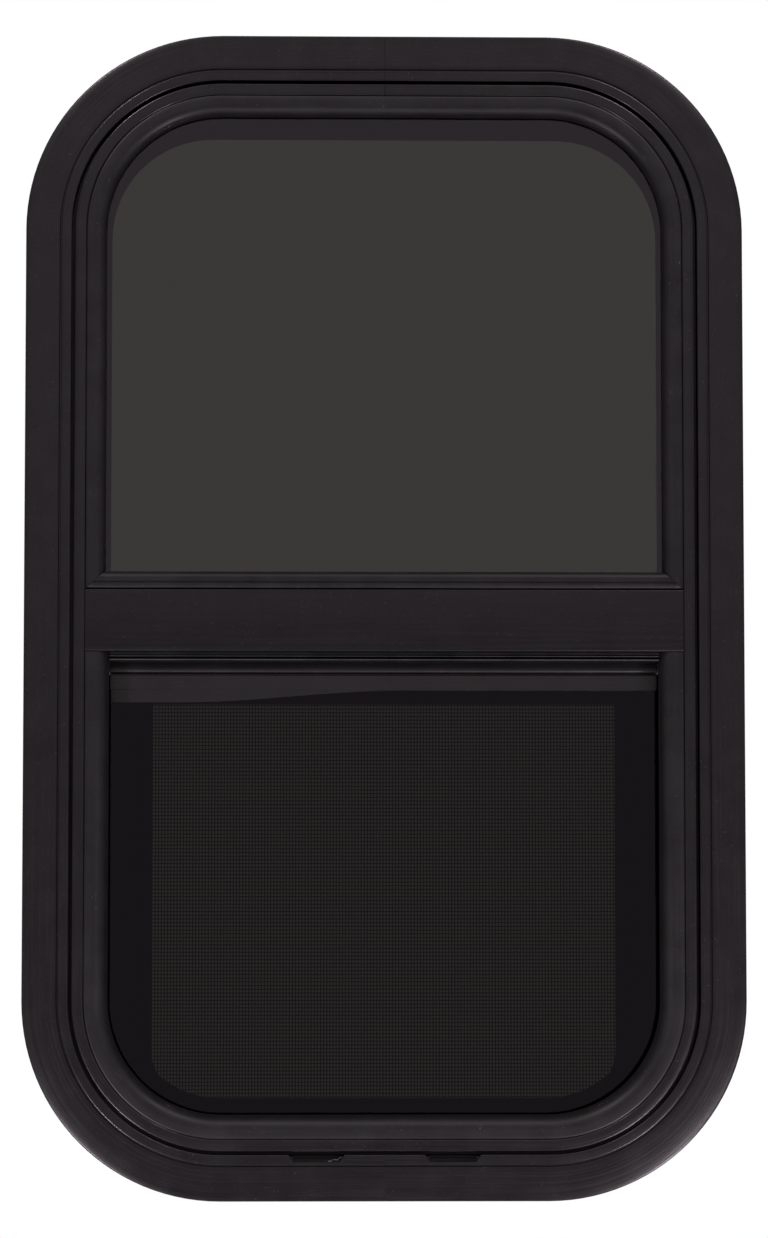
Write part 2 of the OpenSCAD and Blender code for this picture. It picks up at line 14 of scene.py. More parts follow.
import bmesh
import bpy
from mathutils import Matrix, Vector


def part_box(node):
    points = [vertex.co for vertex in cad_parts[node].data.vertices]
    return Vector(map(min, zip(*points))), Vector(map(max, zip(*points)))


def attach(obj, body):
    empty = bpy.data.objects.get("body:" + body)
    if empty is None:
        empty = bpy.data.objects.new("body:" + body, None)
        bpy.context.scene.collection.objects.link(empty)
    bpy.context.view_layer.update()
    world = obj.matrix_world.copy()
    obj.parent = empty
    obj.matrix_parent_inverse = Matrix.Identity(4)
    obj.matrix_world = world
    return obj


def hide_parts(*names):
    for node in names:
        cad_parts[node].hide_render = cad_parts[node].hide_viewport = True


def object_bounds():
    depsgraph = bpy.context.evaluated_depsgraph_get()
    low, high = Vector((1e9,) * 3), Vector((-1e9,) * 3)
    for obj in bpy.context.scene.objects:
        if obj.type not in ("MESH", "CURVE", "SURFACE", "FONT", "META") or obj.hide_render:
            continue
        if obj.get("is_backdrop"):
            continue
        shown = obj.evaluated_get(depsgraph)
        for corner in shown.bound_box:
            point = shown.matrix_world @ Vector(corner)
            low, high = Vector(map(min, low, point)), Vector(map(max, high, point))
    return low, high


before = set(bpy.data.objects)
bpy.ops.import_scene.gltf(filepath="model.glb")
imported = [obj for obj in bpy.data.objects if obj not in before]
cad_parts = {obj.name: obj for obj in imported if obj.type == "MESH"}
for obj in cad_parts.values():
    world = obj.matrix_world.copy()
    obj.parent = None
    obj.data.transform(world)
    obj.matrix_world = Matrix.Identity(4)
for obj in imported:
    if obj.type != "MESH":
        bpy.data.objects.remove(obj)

LOG = logging.getLogger("window")
MM = 0.001
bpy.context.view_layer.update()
# Turns of a new cylinder, cone or circle: its axis along X, or pointing out of the window
ACROSS = (0.0, math.pi / 2, 0.0)
OUTWARDS = (math.pi / 2, 0.0, 0.0)
Pair = tuple[float, float]
Links = dict[str | int, object]


class Body(Enum):
    """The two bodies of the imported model."""

    FRAME = "frame"
    SASH = "sash"


class Slot(Enum):
    """Material slots of the finishes."""

    COAT = "frame_coat"
    RUBBER = "black_rubber"
    GLASS = "tinted_glass"
    PLASTIC = "black_plastic"
    SCREEN = "screen_coat"
    MESH = "insect_mesh"
    ZINC = "zinc_steel"
    SCREW = "black_screws"


@dataclass(frozen=True)
class Window:
    """Main sizes of the window, in millimetres, with the insets and levels that follow.

    The overall size comes from the frame. The rest repeats the construction's own values.
    """

    half_w: float
    half_h: float
    lift: float
    corner_r: float = 93.0
    flange_w: float = 16.2
    flange_t: float = 2.0
    groove_w: float = 0.8
    lip_w: float = 4.8
    lip_h: float = 1.8
    gutter_w: float = 1.6
    wall_t: float = 1.6
    face_w: float = 5.4
    step_d: float = 0.5
    bead_w: float = 9.2
    ledge_lap: float = 1.1
    ledge_depth: float = 10.0
    port_w: float = 3.4
    wall_depth: float = 38.0
    trim_t: float = 1.8
    glass_t: float = 4.0
    tape_t: float = 0.8
    sash_clear: float = 5.0
    run_gap: float = 1.0
    track_t: float = 1.2
    nose_t: float = 0.7
    bar_top: float = 11.0
    bar_h: float = 29.2
    bar_back: float = 0.4
    strip_h: float = 8.4
    rail_lap: float = 4.1
    rail_h: float = 21.2
    nose_at: float = 8.0
    seat_gap: float = 0.1

    @classmethod
    def from_frame(cls) -> "Window":
        """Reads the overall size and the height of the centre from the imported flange.

        Returns:
            The window's sizes.
        """
        low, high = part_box("mounting_flange")
        return cls(
            half_w=(high.x - low.x) / 2 / MM,
            half_h=(high.z - low.z) / 2 / MM,
            lift=(high.z + low.z) / 2 / MM,
        )

    @property
    def bend_x(self) -> float:
        """Distance of a bend's centre from the middle, along X."""
        return self.half_w - self.corner_r

    @property
    def bend_y(self) -> float:
        """Distance of a bend's centre from the middle, along Y."""
        return self.half_h - self.corner_r

    @property
    def in_lip(self) -> float:
        """Inset where the raised lip starts."""
        return self.flange_w + self.groove_w

    @property
    def in_gutter(self) -> float:
        """Inset where the lip ends and the gutter opens."""
        return self.in_lip + self.lip_w

    @property
    def in_face(self) -> float:
        """Inset where the frame's flat face starts."""
        return self.in_gutter + self.gutter_w

    @property
    def in_pocket(self) -> float:
        """Inset of the glazing pocket's wall."""
        return self.in_face + self.face_w

    @property
    def in_bead(self) -> float:
        """Inset of the upper bead's inner edge."""
        return self.in_pocket + self.bead_w

    @property
    def in_ledge(self) -> float:
        """Inset of the glazing ledge's inner edge."""
        return self.in_bead + self.ledge_lap

    @property
    def in_web(self) -> float:
        """Inset of the outer side of the web through the wall."""
        return self.in_lip + 0.8 + self.wall_t

    @property
    def in_rear(self) -> float:
        """Inset of the frame's rear wall edge."""
        return self.in_ledge - 1.2

    @property
    def out_face(self) -> float:
        """Level of the frame's flat face."""
        return self.flange_t + self.lip_h

    @property
    def out_bead(self) -> float:
        """Level of the beads' faces."""
        return self.out_face - 0.4

    @property
    def out_ledge(self) -> float:
        """Level of the glazing ledge."""
        return -self.ledge_depth

    @property
    def out_glass(self) -> float:
        """Level of the fixed glass's outer face."""
        return self.out_ledge + self.tape_t + self.glass_t

    @property
    def out_ledge_back(self) -> float:
        """Level of the glazing ledge's back."""
        return self.out_ledge - self.wall_t

    @property
    def out_nose(self) -> float:
        """Level of the sash rail's nose."""
        return self.out_ledge_back - self.sash_clear

    @property
    def out_rail(self) -> float:
        """Level of the sash rail's face."""
        return self.out_nose - self.nose_t

    @property
    def out_sash(self) -> float:
        """Level of the sash glass's outer face."""
        return self.out_rail - 1.1

    @property
    def out_sash_back(self) -> float:
        """Level of the sash glass's room face."""
        return self.out_sash - self.glass_t

    @property
    def out_rear(self) -> float:
        """Level of the rear wall's front."""
        return self.out_sash_back - self.run_gap - self.track_t

    @property
    def out_rear_back(self) -> float:
        """Level of the rear wall's back."""
        return self.out_rear - self.wall_t

    @property
    def bar_bottom(self) -> float:
        """Height of the middle bar's lower edge."""
        return self.bar_top - self.bar_h

    @property
    def rail_top(self) -> float:
        """Height of the sash rail's upper edge."""
        return self.bar_bottom + self.rail_lap

    @property
    def rail_foot(self) -> float:
        """Height of the sash rail's lower edge."""
        return self.rail_top - self.rail_h

    @property
    def rail_half(self) -> float:
        """Half length of the sash rail."""
        return self.half_w - self.in_ledge - 1

    def at(self, x: float, y: float, out: float) -> Vector:
        """Turns a drawn point into a point of the frame, in metres."""
        return Vector((x, -out, y + self.lift)) * MM

    def head(self, section: Sequence[Pair]) -> list[Vector]:
        """Places a section at the middle of the head."""
        return [self.at(0, self.half_h - inset, out) for inset, out in section]

    def side(self, section: Sequence[Pair], side: int, y: float) -> list[Vector]:
        """Places a section on the left (-1) or right (1) side at a height."""
        return [self.at(side * (self.half_w - inset), y, out) for inset, out in section]

    def along(self, x: float, y: float) -> float:
        """Distance of a point along the ring, clockwise from the middle of the head.

        Args:
            x: Drawn X of the point.
            y: Drawn Y of the point.

        Returns:
            The distance in millimetres, measured near the flange's inner edge.
        """
        reach = self.corner_r - self.flange_w
        quarter = reach * math.pi / 2
        across, up = abs(x) - self.bend_x, abs(y) - self.bend_y
        if across > 0 and up > 0:
            run = self.bend_x + reach * math.atan2(across, up)
        elif across > 0:
            run = self.bend_x + quarter + self.bend_y - abs(y)
        else:
            run = abs(x)
        half_run = self.bend_x + quarter + self.bend_y
        run = run if y >= 0 else 2 * half_run - run
        return run if x >= 0 else -run

    def inset_of(self, x: float, y: float) -> float:
        """Inset of a drawn point from the flange's outer edge.

        Args:
            x: Drawn X of the point.
            y: Drawn Y of the point.

        Returns:
            The inset in millimetres.
        """
        across, up = abs(x) - self.bend_x, abs(y) - self.bend_y
        if across > 0 and up > 0:
            return self.corner_r - math.hypot(across, up)
        return self.corner_r - max(across, up)


def arc(centre: Pair, radius: float, start: float, end: float, steps: int = 6) -> list[Pair]:
    """Points on an arc of a section.

    Args:
        centre: Centre of the arc.
        radius: Radius of the arc.
        start: Angle of the first point in degrees.
        end: Angle of the last point in degrees.
        steps: Number of equal steps between them.

    Returns:
        The points, first and last included.
    """
    angles = [math.radians(start + (end - start) * i / steps) for i in range(steps + 1)]
    return [(centre[0] + radius * math.cos(a), centre[1] + radius * math.sin(a)) for a in angles]


def rounded(points: Sequence[tuple[float, float, float]], steps: int = 4) -> list[Pair]:
    """Rounds the corners of a section.

    Args:
        points: Corners as (first, second, radius), in order round the section.
        steps: Steps of each rounding.

    Returns:
        The outline, with an arc at each corner whose radius isn't 0.
    """
    outline: list[Pair] = []
    for i, (first, second, radius) in enumerate(points):
        here = Vector((first, second))
        if radius == 0:
            outline.append((first, second))
            continue
        before = (Vector(points[i - 1][:2]) - here).normalized()
        after = (Vector(points[(i + 1) % len(points)][:2]) - here).normalized()
        half = before.angle(after) / 2
        reach = radius / math.tan(half)
        middle = here + (before + after).normalized() * (radius / math.sin(half))
        begin, finish = here + before * reach - middle, here + after * reach - middle
        turn = begin.angle_signed(finish)
        for step in range(steps + 1):
            angle = -turn * step / steps
            cosine, sine = math.cos(angle), math.sin(angle)
            spoke = Vector((begin.x * cosine - begin.y * sine, begin.x * sine + begin.y * cosine))
            outline.append(tuple(middle + spoke))
    return outline


@dataclass(frozen=True)
class Straight:
    """A straight leg of a sweep, in drawn millimetres."""

    dx: float
    dy: float
    steps: int

    def run(self, window: Window) -> None:
        """Extrudes the selection along the leg.

        Args:
            window: The window's sizes, which a straight leg doesn't need.
        """
        step = Vector((self.dx, 0, self.dy)) * MM / self.steps
        for _ in range(self.steps):
            bpy.ops.mesh.extrude_region_move(TRANSFORM_OT_translate={"value": step})


@dataclass(frozen=True)
class Bend:
    """A quarter turn of a sweep, clockwise as seen from outside."""

    x: float
    y: float
    steps: int = 28

    def run(self, window: Window) -> None:
        """Spins the selection round the bend's centre.

        Args:
            window: The window's sizes.
        """
        bpy.ops.mesh.spin(
            steps=self.steps, angle=math.pi / 2, center=window.at(self.x, self.y, 0), axis=(0, -1, 0)
        )


def start_clean() -> None:
    """Leaves edit mode and deselects everything."""
    if bpy.context.mode != "OBJECT":
        bpy.ops.object.mode_set(mode="OBJECT")
    bpy.ops.object.select_all(action="DESELECT")


def select_only(piece: bpy.types.Object) -> None:
    """Makes a piece the only selected and active object.

    Args:
        piece: The piece.
    """
    start_clean()
    piece.select_set(True)
    bpy.context.view_layer.objects.active = piece


def draw_section(points: Sequence[Vector]) -> None:
    """Draws a closed line of edges by extruding one vertex, and stays in edit mode.

    Args:
        points: The line's corners in metres.
    """
    start_clean()
    bpy.ops.mesh.primitive_plane_add(size=MM, location=points[0])
    bpy.ops.object.mode_set(mode="EDIT")
    bpy.ops.mesh.merge(type="CENTER")
    for here, there in zip(points, [*points[1:], points[0]]):
        bpy.ops.mesh.extrude_region_move(TRANSFORM_OT_translate={"value": there - here})
    bpy.ops.mesh.select_all(action="SELECT")
    bpy.ops.mesh.remove_doubles(threshold=1e-6)


def named(piece: bpy.types.Object, name: str) -> bpy.types.Object:
    """Names a piece and its mesh."""
    piece.name = piece.data.name = name
    return piece


def close_mesh() -> None:
    """Merges doubles, points the faces outwards and puts the object at the origin."""
    bpy.ops.mesh.select_all(action="SELECT")
    bpy.ops.mesh.remove_doubles(threshold=2e-6)
    bpy.ops.mesh.normals_make_consistent(inside=False)
    bpy.ops.object.mode_set(mode="OBJECT")
    bpy.ops.object.transform_apply(location=True, rotation=True, scale=True)


def sweep(
    window: Window, name: str, start: Sequence[Vector], legs: Iterable[Straight | Bend], ring: bool = False
) -> bpy.types.Object:
    """Carries a section along straight legs and bends.

    Args:
        window: The window's sizes.
        name: Name of the piece.
        start: The section at its place, in metres.
        legs: The legs in order.
        ring: True where the last leg meets the first, so that no end needs a face.

    Returns:
        The swept piece, closed, with its faces outwards.
    """
    draw_section(start)
    if not ring:
        bpy.ops.mesh.edge_face_add()
    for leg in legs:
        leg.run(window)
    close_mesh()
    return named(bpy.context.object, name)


def plate(
    window: Window, name: str, outline: Sequence[Pair], low: float, high: float
) -> bpy.types.Object:
    """A flat piece with a drawn outline.

    Args:
        window: The window's sizes.
        name: Name of the piece.
        outline: The outline as (x, y) points.
        low: Level of its back.
        high: Level of its front.

    Returns:
        The plate as a closed mesh.
    """
    draw_section([window.at(x, y, low) for x, y in outline])
    bpy.ops.mesh.edge_face_add()
    bpy.ops.mesh.extrude_region_move(TRANSFORM_OT_translate={"value": (0, (low - high) * MM, 0)})
    close_mesh()
    return named(bpy.context.object, name)


def closed_ring(window: Window, name: str, section: Sequence[Pair]) -> bpy.types.Object:
    """A section carried all the way round, clockwise from the middle of the head.

    Args:
        window: The window's sizes.
        name: Name of the piece.
        section: Its outline as (inset, out) points.

    Returns:
        The ring.
    """
    x, y = window.bend_x, window.bend_y
    legs = [
        Straight(x, 0, 8), Bend(x, y), Straight(0, -2 * y, 30), Bend(x, -y), Straight(-2 * x, 0, 16),
        Bend(-x, -y), Straight(0, 2 * y, 30), Bend(-x, y), Straight(x, 0, 8),
    ]
    return sweep(window, name, window.head(section), legs, ring=True)


def foot_loop(window: Window, name: str, section: Sequence[Pair], top: float) -> bpy.types.Object:
    """A section carried down the right side, round the foot and up the left side to a height.

    Args:
        window: The window's sizes.
        name: Name of the piece.
        section: Its outline as (inset, out) points.
        top: Height of its two ends.

    Returns:
        The loop.
    """
    x, y = window.bend_x, window.bend_y
    legs = [
        Straight(0, -(top + y), 20), Bend(x, -y), Straight(-2 * x, 0, 16),
        Bend(-x, -y), Straight(0, top + y, 20),
    ]
    return sweep(window, name, window.side(section, 1, top), legs)


def head_loop(window: Window, name: str, section: Sequence[Pair], foot: float) -> bpy.types.Object:
    """A section carried up the left side, over the head and down the right side to a height.

    Args:
        window: The window's sizes.
        name: Name of the piece.
        section: Its outline as (inset, out) points.
        foot: Height of its two ends.

    Returns:
        The loop.
    """
    x, y = window.bend_x, window.bend_y
    legs = [
        Straight(0, y - foot, 20), Bend(-x, y), Straight(2 * x, 0, 16),
        Bend(x, y), Straight(0, foot - y, 20),
    ]
    return sweep(window, name, window.side(section, -1, foot), legs)


def crossbar(
    window: Window, name: str, section: Sequence[Pair], half: float, steps: int = 24
) -> bpy.types.Object:
    """A straight bar along X, whose section is a list of (height, out) points."""
    start = [window.at(-half, height, out) for height, out in section]
    return sweep(window, name, start, [Straight(2 * half, 0, steps)])


def block(
    window: Window, name: str, low: Sequence[float], high: Sequence[float], edge: float
) -> bpy.types.Object:
    """A box between two drawn corners, with rounded edges.

    Args:
        window: The window's sizes.
        name: Name of the piece.
        low: Lowest X, Y and out.
        high: Highest X, Y and out.
        edge: Radius of the edges in millimetres.

    Returns:
        The box as a piece.
    """
    start_clean()
    middle = [(a + b) / 2 for a, b in zip(low, high)]
    bpy.ops.mesh.primitive_cube_add(size=1, location=window.at(*middle))
    piece = bpy.context.object
    piece.scale = Vector((high[0] - low[0], high[2] - low[2], high[1] - low[1])) * MM
    bpy.ops.object.transform_apply(location=True, rotation=True, scale=True)
    if edge > 0:
        bpy.ops.object.mode_set(mode="EDIT")
        bpy.ops.mesh.select_all(action="SELECT")
        bpy.ops.mesh.bevel(offset=edge * MM, segments=3, affect="EDGES")
        bpy.ops.object.mode_set(mode="OBJECT")
    return named(piece, name)


def cylinder(
    window: Window, place: Sequence[float], radius: float, length: float, turn: Sequence[float],
    sides: int = 40,
) -> bpy.types.Object:
    """A cylinder round a drawn point.

    Args:
        window: The window's sizes.
        place: X, Y and out of its middle.
        radius: Its radius.
        length: Its length.
        turn: ACROSS for one that lies along X, OUTWARDS for one that points out.
        sides: How many flat sides it has.

    Returns:
        The cylinder as a piece.
    """
    start_clean()
    bpy.ops.mesh.primitive_cylinder_add(
        vertices=sides, radius=radius * MM, depth=length * MM, location=window.at(*place), rotation=turn
    )
    bpy.ops.object.transform_apply(location=True, rotation=True, scale=True)
    return bpy.context.object


def apply_modifier(piece: bpy.types.Object, kind: str, **settings: object) -> None:
    """Adds a modifier with its settings and applies it.

    Args:
        piece: The piece it works on.
        kind: Blender's name of the modifier.
        settings: The modifier's settings.
    """
    select_only(piece)
    modifier = piece.modifiers.new(kind.title(), kind)
    for key, value in settings.items():
        setattr(modifier, key, value)
    bpy.ops.object.modifier_apply(modifier=modifier.name)


def repeat(piece: bpy.types.Object, count: int, step: Sequence[float], **settings: object) -> None:
    """Repeats a piece in a row.

    Args:
        piece: The piece.
        count: How many there are in the row.
        step: Distance from one to the next in millimetres, along Blender's axes.
        settings: Other settings of the array.
    """
    apply_modifier(
        piece, "ARRAY", count=count, use_relative_offset=False, use_constant_offset=True,
        constant_offset_displace=Vector(step) * MM, **settings,
    )


def face_outwards(piece: bpy.types.Object) -> None:
    """Points all faces of a piece outwards.

    Args:
        piece: The piece, a closed mesh.
    """
    select_only(piece)
    bpy.ops.object.mode_set(mode="EDIT")
    bpy.ops.mesh.select_all(action="SELECT")
    bpy.ops.mesh.normals_make_consistent(inside=False)
    bpy.ops.object.mode_set(mode="OBJECT")


def cut(piece: bpy.types.Object, cutter: bpy.types.Object) -> None:
    """Cuts a closed tool out of a piece and deletes the tool."""
    apply_modifier(piece, "BOOLEAN", operation="DIFFERENCE", object=cutter, solver="EXACT")
    bpy.data.objects.remove(cutter)


def join(name: str, pieces: Sequence[bpy.types.Object]) -> bpy.types.Object:
    """Joins pieces into one object with a name.

    Args:
        name: Name of the whole.
        pieces: The pieces.

    Returns:
        The first piece, which now holds all.
    """
    start_clean()
    for piece in pieces:
        piece.select_set(True)
    bpy.context.view_layer.objects.active = pieces[0]
    if len(pieces) > 1:
        bpy.ops.object.join()
    return named(pieces[0], name)


def copy_piece(piece: bpy.types.Object, name: str) -> bpy.types.Object:
    """Copies a piece with a mesh of its own.

    Args:
        piece: The piece.
        name: Name of the copy.

    Returns:
        The copy.
    """
    twin = piece.copy()
    twin.data = piece.data.copy()
    bpy.context.scene.collection.objects.link(twin)
    return named(twin, name)


def mirrored(piece: bpy.types.Object, name: str) -> bpy.types.Object:
    """Copies a piece to the other side of the window's middle.

    Args:
        piece: The piece on the right.
        name: Name of the copy.

    Returns:
        The copy on the left.
    """
    twin = copy_piece(piece, name)
    select_only(twin)
    twin.scale.x = -1
    bpy.ops.object.transform_apply(location=True, rotation=True, scale=True)
    face_outwards(twin)
    return twin


def ripple(piece: bpy.types.Object, wave: float, height: float) -> None:
    """Gives a soft extrusion the slight waves that a fitted one has.

    Args:
        piece: The piece.
        wave: Length of the waves in millimetres.
        height: Height of the waves in millimetres.
    """
    clouds = bpy.data.textures.new("waves", "CLOUDS")
    clouds.noise_scale = wave * MM
    clouds.noise_depth = 0
    apply_modifier(
        piece, "DISPLACE", texture=clouds, texture_coords="LOCAL", strength=height * MM, mid_level=0.5
    )
    bpy.data.textures.remove(clouds)


def map_run(window: Window, piece: bpy.types.Object, straight: bool = False) -> None:
    """Writes the UV map "run": the length along an extrusion, and the place across it, in metres.

    Args:
        window: The window's sizes.
        piece: The piece.
        straight: True for a bar along X, False for a piece of the ring.
    """
    layer = piece.data.uv_layers.new(name="run")
    for face in piece.data.polygons:
        right = face.center.x >= 0
        for corner in face.loop_indices:
            spot = piece.data.vertices[piece.data.loops[corner].vertex_index].co / MM
            x, y = spot.x, spot.z - window.lift
            if straight:
                along, across = x, y - spot.y
            else:
                along = abs(window.along(x, y)) * (1 if right else -1)
                across = window.inset_of(x, y) - spot.y
            layer.data[corner].uv = (along * MM, across * MM)


def linear(code: str) -> tuple[float, float, float, float]:
    """Turns an sRGB hex colour such as "#28272a" into linear red, green, blue and alpha.

    Args:
        code: The colour with its #.

    Returns:
        Its linear values, from 0 to 1.
    """
    parts = [int(code[i : i + 2], 16) / 255 for i in (1, 3, 5)]
    flat = [p / 12.92 if p <= 0.04045 else ((p + 0.055) / 1.055) ** 2.4 for p in parts]
    return (flat[0], flat[1], flat[2], 1.0)


def add(
    tree: bpy.types.NodeTree, kind: str, links: Links | None = None, **settings: object
) -> bpy.types.Node:
    """Adds a shader node with its settings and links.

    Args:
        tree: The node tree.
        kind: Blender's type name of the node.
        links: For each input, the output that feeds it or its plain value.
        settings: Properties of the node.

    Returns:
        The node.
    """
    node = tree.nodes.new(kind)
    for key, value in settings.items():
        setattr(node, key, value)
    for key, source in (links or {}).items():
        if isinstance(source, bpy.types.NodeSocket):
            tree.links.new(source, node.inputs[key])
        else:
            node.inputs[key].default_value = source
    return node


def blank(name: str) -> tuple[bpy.types.Material, bpy.types.NodeTree]:
    """A new material with an empty node tree.

    Args:
        name: Name of the material.

    Returns:
        The material and its tree.
    """
    material = bpy.data.materials.new(name)
    material.use_nodes = True
    material.node_tree.nodes.clear()
    return material, material.node_tree


def spread(
    tree: bpy.types.NodeTree, source: bpy.types.NodeSocket, low: float, high: float
) -> bpy.types.NodeSocket:
    """Spreads a noise, which stays around a half, over a range of values.

    Args:
        tree: The node tree.
        source: The noise.
        low: Lowest value.
        high: Highest value.

    Returns:
        The value.
    """
    node = add(
        tree, "ShaderNodeMapRange",
        {"Value": source, "From Min": 0.3, "From Max": 0.7, "To Min": low, "To Max": high},
    )
    return node.outputs["Result"]


def noise(
    tree: bpy.types.NodeTree, place: bpy.types.NodeSocket, size: float, detail: float
) -> bpy.types.NodeSocket:
    """A noise whose lumps have a real size.

    Args:
        tree: The node tree.
        place: The coordinates, in metres.
        size: Size of the lumps in millimetres.
        detail: How many finer layers it has.

    Returns:
        The noise's value.
    """
    links: Links = {"Vector": place, "Scale": 1 / (size * MM), "Detail": detail}
    return add(tree, "ShaderNodeTexNoise", links).outputs["Fac"]


def blended(
    tree: bpy.types.NodeTree, factor: bpy.types.NodeSocket, first: object, second: object
) -> bpy.types.NodeSocket:
    """Mixes two colours.

    Args:
        tree: The node tree.
        factor: Share of the second colour.
        first: The first colour, or the output that feeds it.
        second: The second colour, or the output that feeds it.

    Returns:
        The mixed colour.
    """
    return add(tree, "ShaderNodeMix", {"Factor": factor, 6: first, 7: second}, data_type="RGBA").outputs[2]


@dataclass(frozen=True)
class Surface:
    """An opaque finish with a fine grain, slow mottling and, on extrusions, drawn lines.

    The colours are sRGB hex values, and the grain sizes are millimetres.
    """

    name: str
    colour: str
    mottle: str
    roughness: float
    rough_spread: float
    specular: float
    grain: float
    grain_depth: float
    line: float = 0.0
    line_depth: float = 0.0
    metallic: float = 0.0
    sheen: float = 0.0
    shine: str = "#fff0fa"
    dust: str = ""
    dust_size: float = 0.9
    mottle_size: float = 14.0
    long_line: float = 90.0

    def material(self) -> bpy.types.Material:
        """Builds the finish from noise on object coordinates and on the run map.

        Returns:
            The material.
        """
        material, tree = blank(self.name)
        place = add(tree, "ShaderNodeTexCoord").outputs["Object"]
        slow = noise(tree, place, self.mottle_size, 3.0)
        fine = noise(tree, place, self.grain, 2.0)
        colour = blended(tree, spread(tree, slow, 0, 1), linear(self.colour), linear(self.mottle))
        if self.dust:
            colour = self.dusted(tree, place, colour)
        rough = spread(tree, slow, self.roughness - self.rough_spread, self.roughness + self.rough_spread)
        bump = add(
            tree, "ShaderNodeBump", {"Height": fine, "Distance": self.grain_depth * MM, "Strength": 1.0}
        ).outputs["Normal"]
        if self.line > 0:
            bump, rough = self.drawn(tree, bump, rough)
        shader = add(
            tree, "ShaderNodeBsdfPrincipled",
            {
                "Base Color": colour, "Roughness": rough, "Normal": bump, "Metallic": self.metallic,
                "Specular IOR Level": self.specular, "Sheen Weight": self.sheen,
                "Specular Tint": linear(self.shine),
            },
        )
        add(tree, "ShaderNodeOutputMaterial", {"Surface": shader.outputs[0]})
        return material

    def dusted(
        self, tree: bpy.types.NodeTree, place: bpy.types.NodeSocket, colour: bpy.types.NodeSocket
    ) -> bpy.types.NodeSocket:
        """Adds sparse pale specks, as handling dust that stays in the grain.

        Args:
            tree: The node tree.
            place: The coordinates.
            colour: The clean colour.

        Returns:
            The colour with dust.
        """
        limits = {"From Min": 0.66, "From Max": 0.8, "To Min": 0.0, "To Max": 0.35}
        specks = noise(tree, place, self.dust_size, 4.0)
        sparse = add(tree, "ShaderNodeMapRange", {"Value": specks, **limits}).outputs["Result"]
        return blended(tree, sparse, colour, linear(self.dust))

    def drawn(
        self, tree: bpy.types.NodeTree, normal: bpy.types.NodeSocket, rough: bpy.types.NodeSocket
    ) -> tuple[bpy.types.NodeSocket, bpy.types.NodeSocket]:
        """Adds the lines that a die leaves along an extrusion.

        Args:
            tree: The node tree.
            normal: The grain's normal.
            rough: The plain roughness.

        Returns:
            The normal and the roughness with lines.
        """
        run = add(tree, "ShaderNodeUVMap", uv_map="run").outputs["UV"]
        stretched = add(
            tree, "ShaderNodeMapping",
            {"Vector": run, "Scale": (1 / (self.long_line * MM), 1 / (self.line * MM), 1.0)},
        ).outputs["Vector"]
        # the mapping has already turned both sizes into units of one
        lines = noise(tree, stretched, 1 / MM, 3.0)
        bump = add(
            tree, "ShaderNodeBump",
            {"Height": lines, "Distance": self.line_depth * MM, "Strength": 1.0, "Normal": normal},
        )
        uneven = spread(tree, lines, -0.05, 0.05)
        total = add(tree, "ShaderNodeMath", {0: rough, 1: uneven}, operation="ADD")
        return bump.outputs["Normal"], total.outputs[0]


# Polyester powder coat on extruded aluminium: satin black, faint orange peel, soft die lines under it
POWDER_COAT = Surface(
    "satin_powder_coat", "#050405", "#070607", 0.26, 0.015, 0.117, 1.6, 0.008,
    line=1.1, line_depth=0.010, dust="#3a3839",
)
# The same coat on the bar, darker and a little flatter: the darker colour is painted shade that keeps the
# bar darker than the flange
BAR_COAT_PAINTED_SHADE = Surface(
    "satin_powder_coat_bar_painted_shade", "#040304", "#050405", 0.32, 0.01, 0.104, 1.6, 0.006,
    line=1.6, line_depth=0.006, dust="#3a3839",
)
# The same coat on the sliding rail, a little lighter and glossier: the lighter colour is painted light that
# keeps the rail's face brighter than the bar
RAIL_COAT_PAINTED_LIGHT = Surface(
    "satin_powder_coat_rail_painted_light", "#060506", "#080708", 0.28, 0.015, 0.18, 1.6, 0.006,
    line=1.2, line_depth=0.008, dust="#3a3839",
)
# Extruded EPDM rubber: matte with a soft grey bloom, faint drag lines from the die
EPDM = Surface(
    "extruded_rubber", "#070607", "#0a090a", 0.42, 0.03, 0.07, 0.7, 0.014,
    line=1.8, line_depth=0.018, dust="#444240",
)
# Softer rubber of the wiper under the bar, made deep black with a low shine as painted shade for the shadow
# under the bar
WIPER_RUBBER_PAINTED_SHADE = Surface(
    "wiper_rubber_painted_shade", "#040405", "#070708", 0.32, 0.05, 0.03, 0.7, 0.010, line=1.2, line_depth=0.014,
)
# Bare aluminium, torn where the drain notch was punched: bright and rough
TORN_METAL = Surface(
    "torn_aluminium", "#77787a", "#3c3c3e", 0.42, 0.08, 0.5, 0.3, 0.02, metallic=1.0, shine="#ffffff",
)
# Moulded lips of the wiper, wiped clean by the glass: the shiniest rubber on the window
LIP_RUBBER = Surface("wiper_lip_rubber", "#0a0a0b", "#101011", 0.30, 0.04, 0.30, 0.7, 0.006)
# Rubber lip under the rail: satin and as light as the rail's coat above it, painted light that carries the
# rail's lit face down to the edge of the shade
LIT_LIP_RUBBER = Surface(
    "lit_lip_rubber", "#060506", "#080708", 0.30, 0.02, 0.17, 0.7, 0.006, dust="#3a3839",
)
# Moulded glass-filled nylon: matte with a fine spark-eroded grain
NYLON = Surface("moulded_nylon", "#0f0f10", "#151516", 0.52, 0.04, 0.35, 0.5, 0.02)
# Roll-formed screen frame with a textured coat: small even wrinkles
WRINKLE_COAT = Surface("wrinkle_coat", "#0f0f10", "#141415", 0.55, 0.05, 0.35, 0.8, 0.05)
# PVC-coated yarn of the insect mesh: dull charcoal
COATED_YARN = Surface("coated_yarn", "#151412", "#1c1b18", 0.62, 0.05, 0.30, 0.4, 0.01)
# Zinc plated steel with a blue passivation: bright, cloudy where the plating is thicker
ZINC_PLATE = Surface(
    "zinc_plated_steel", "#a9adb2", "#c4c6c8", 0.34, 0.08, 0.5, 0.8, 0.004, metallic=1.0, shine="#ffffff",
)
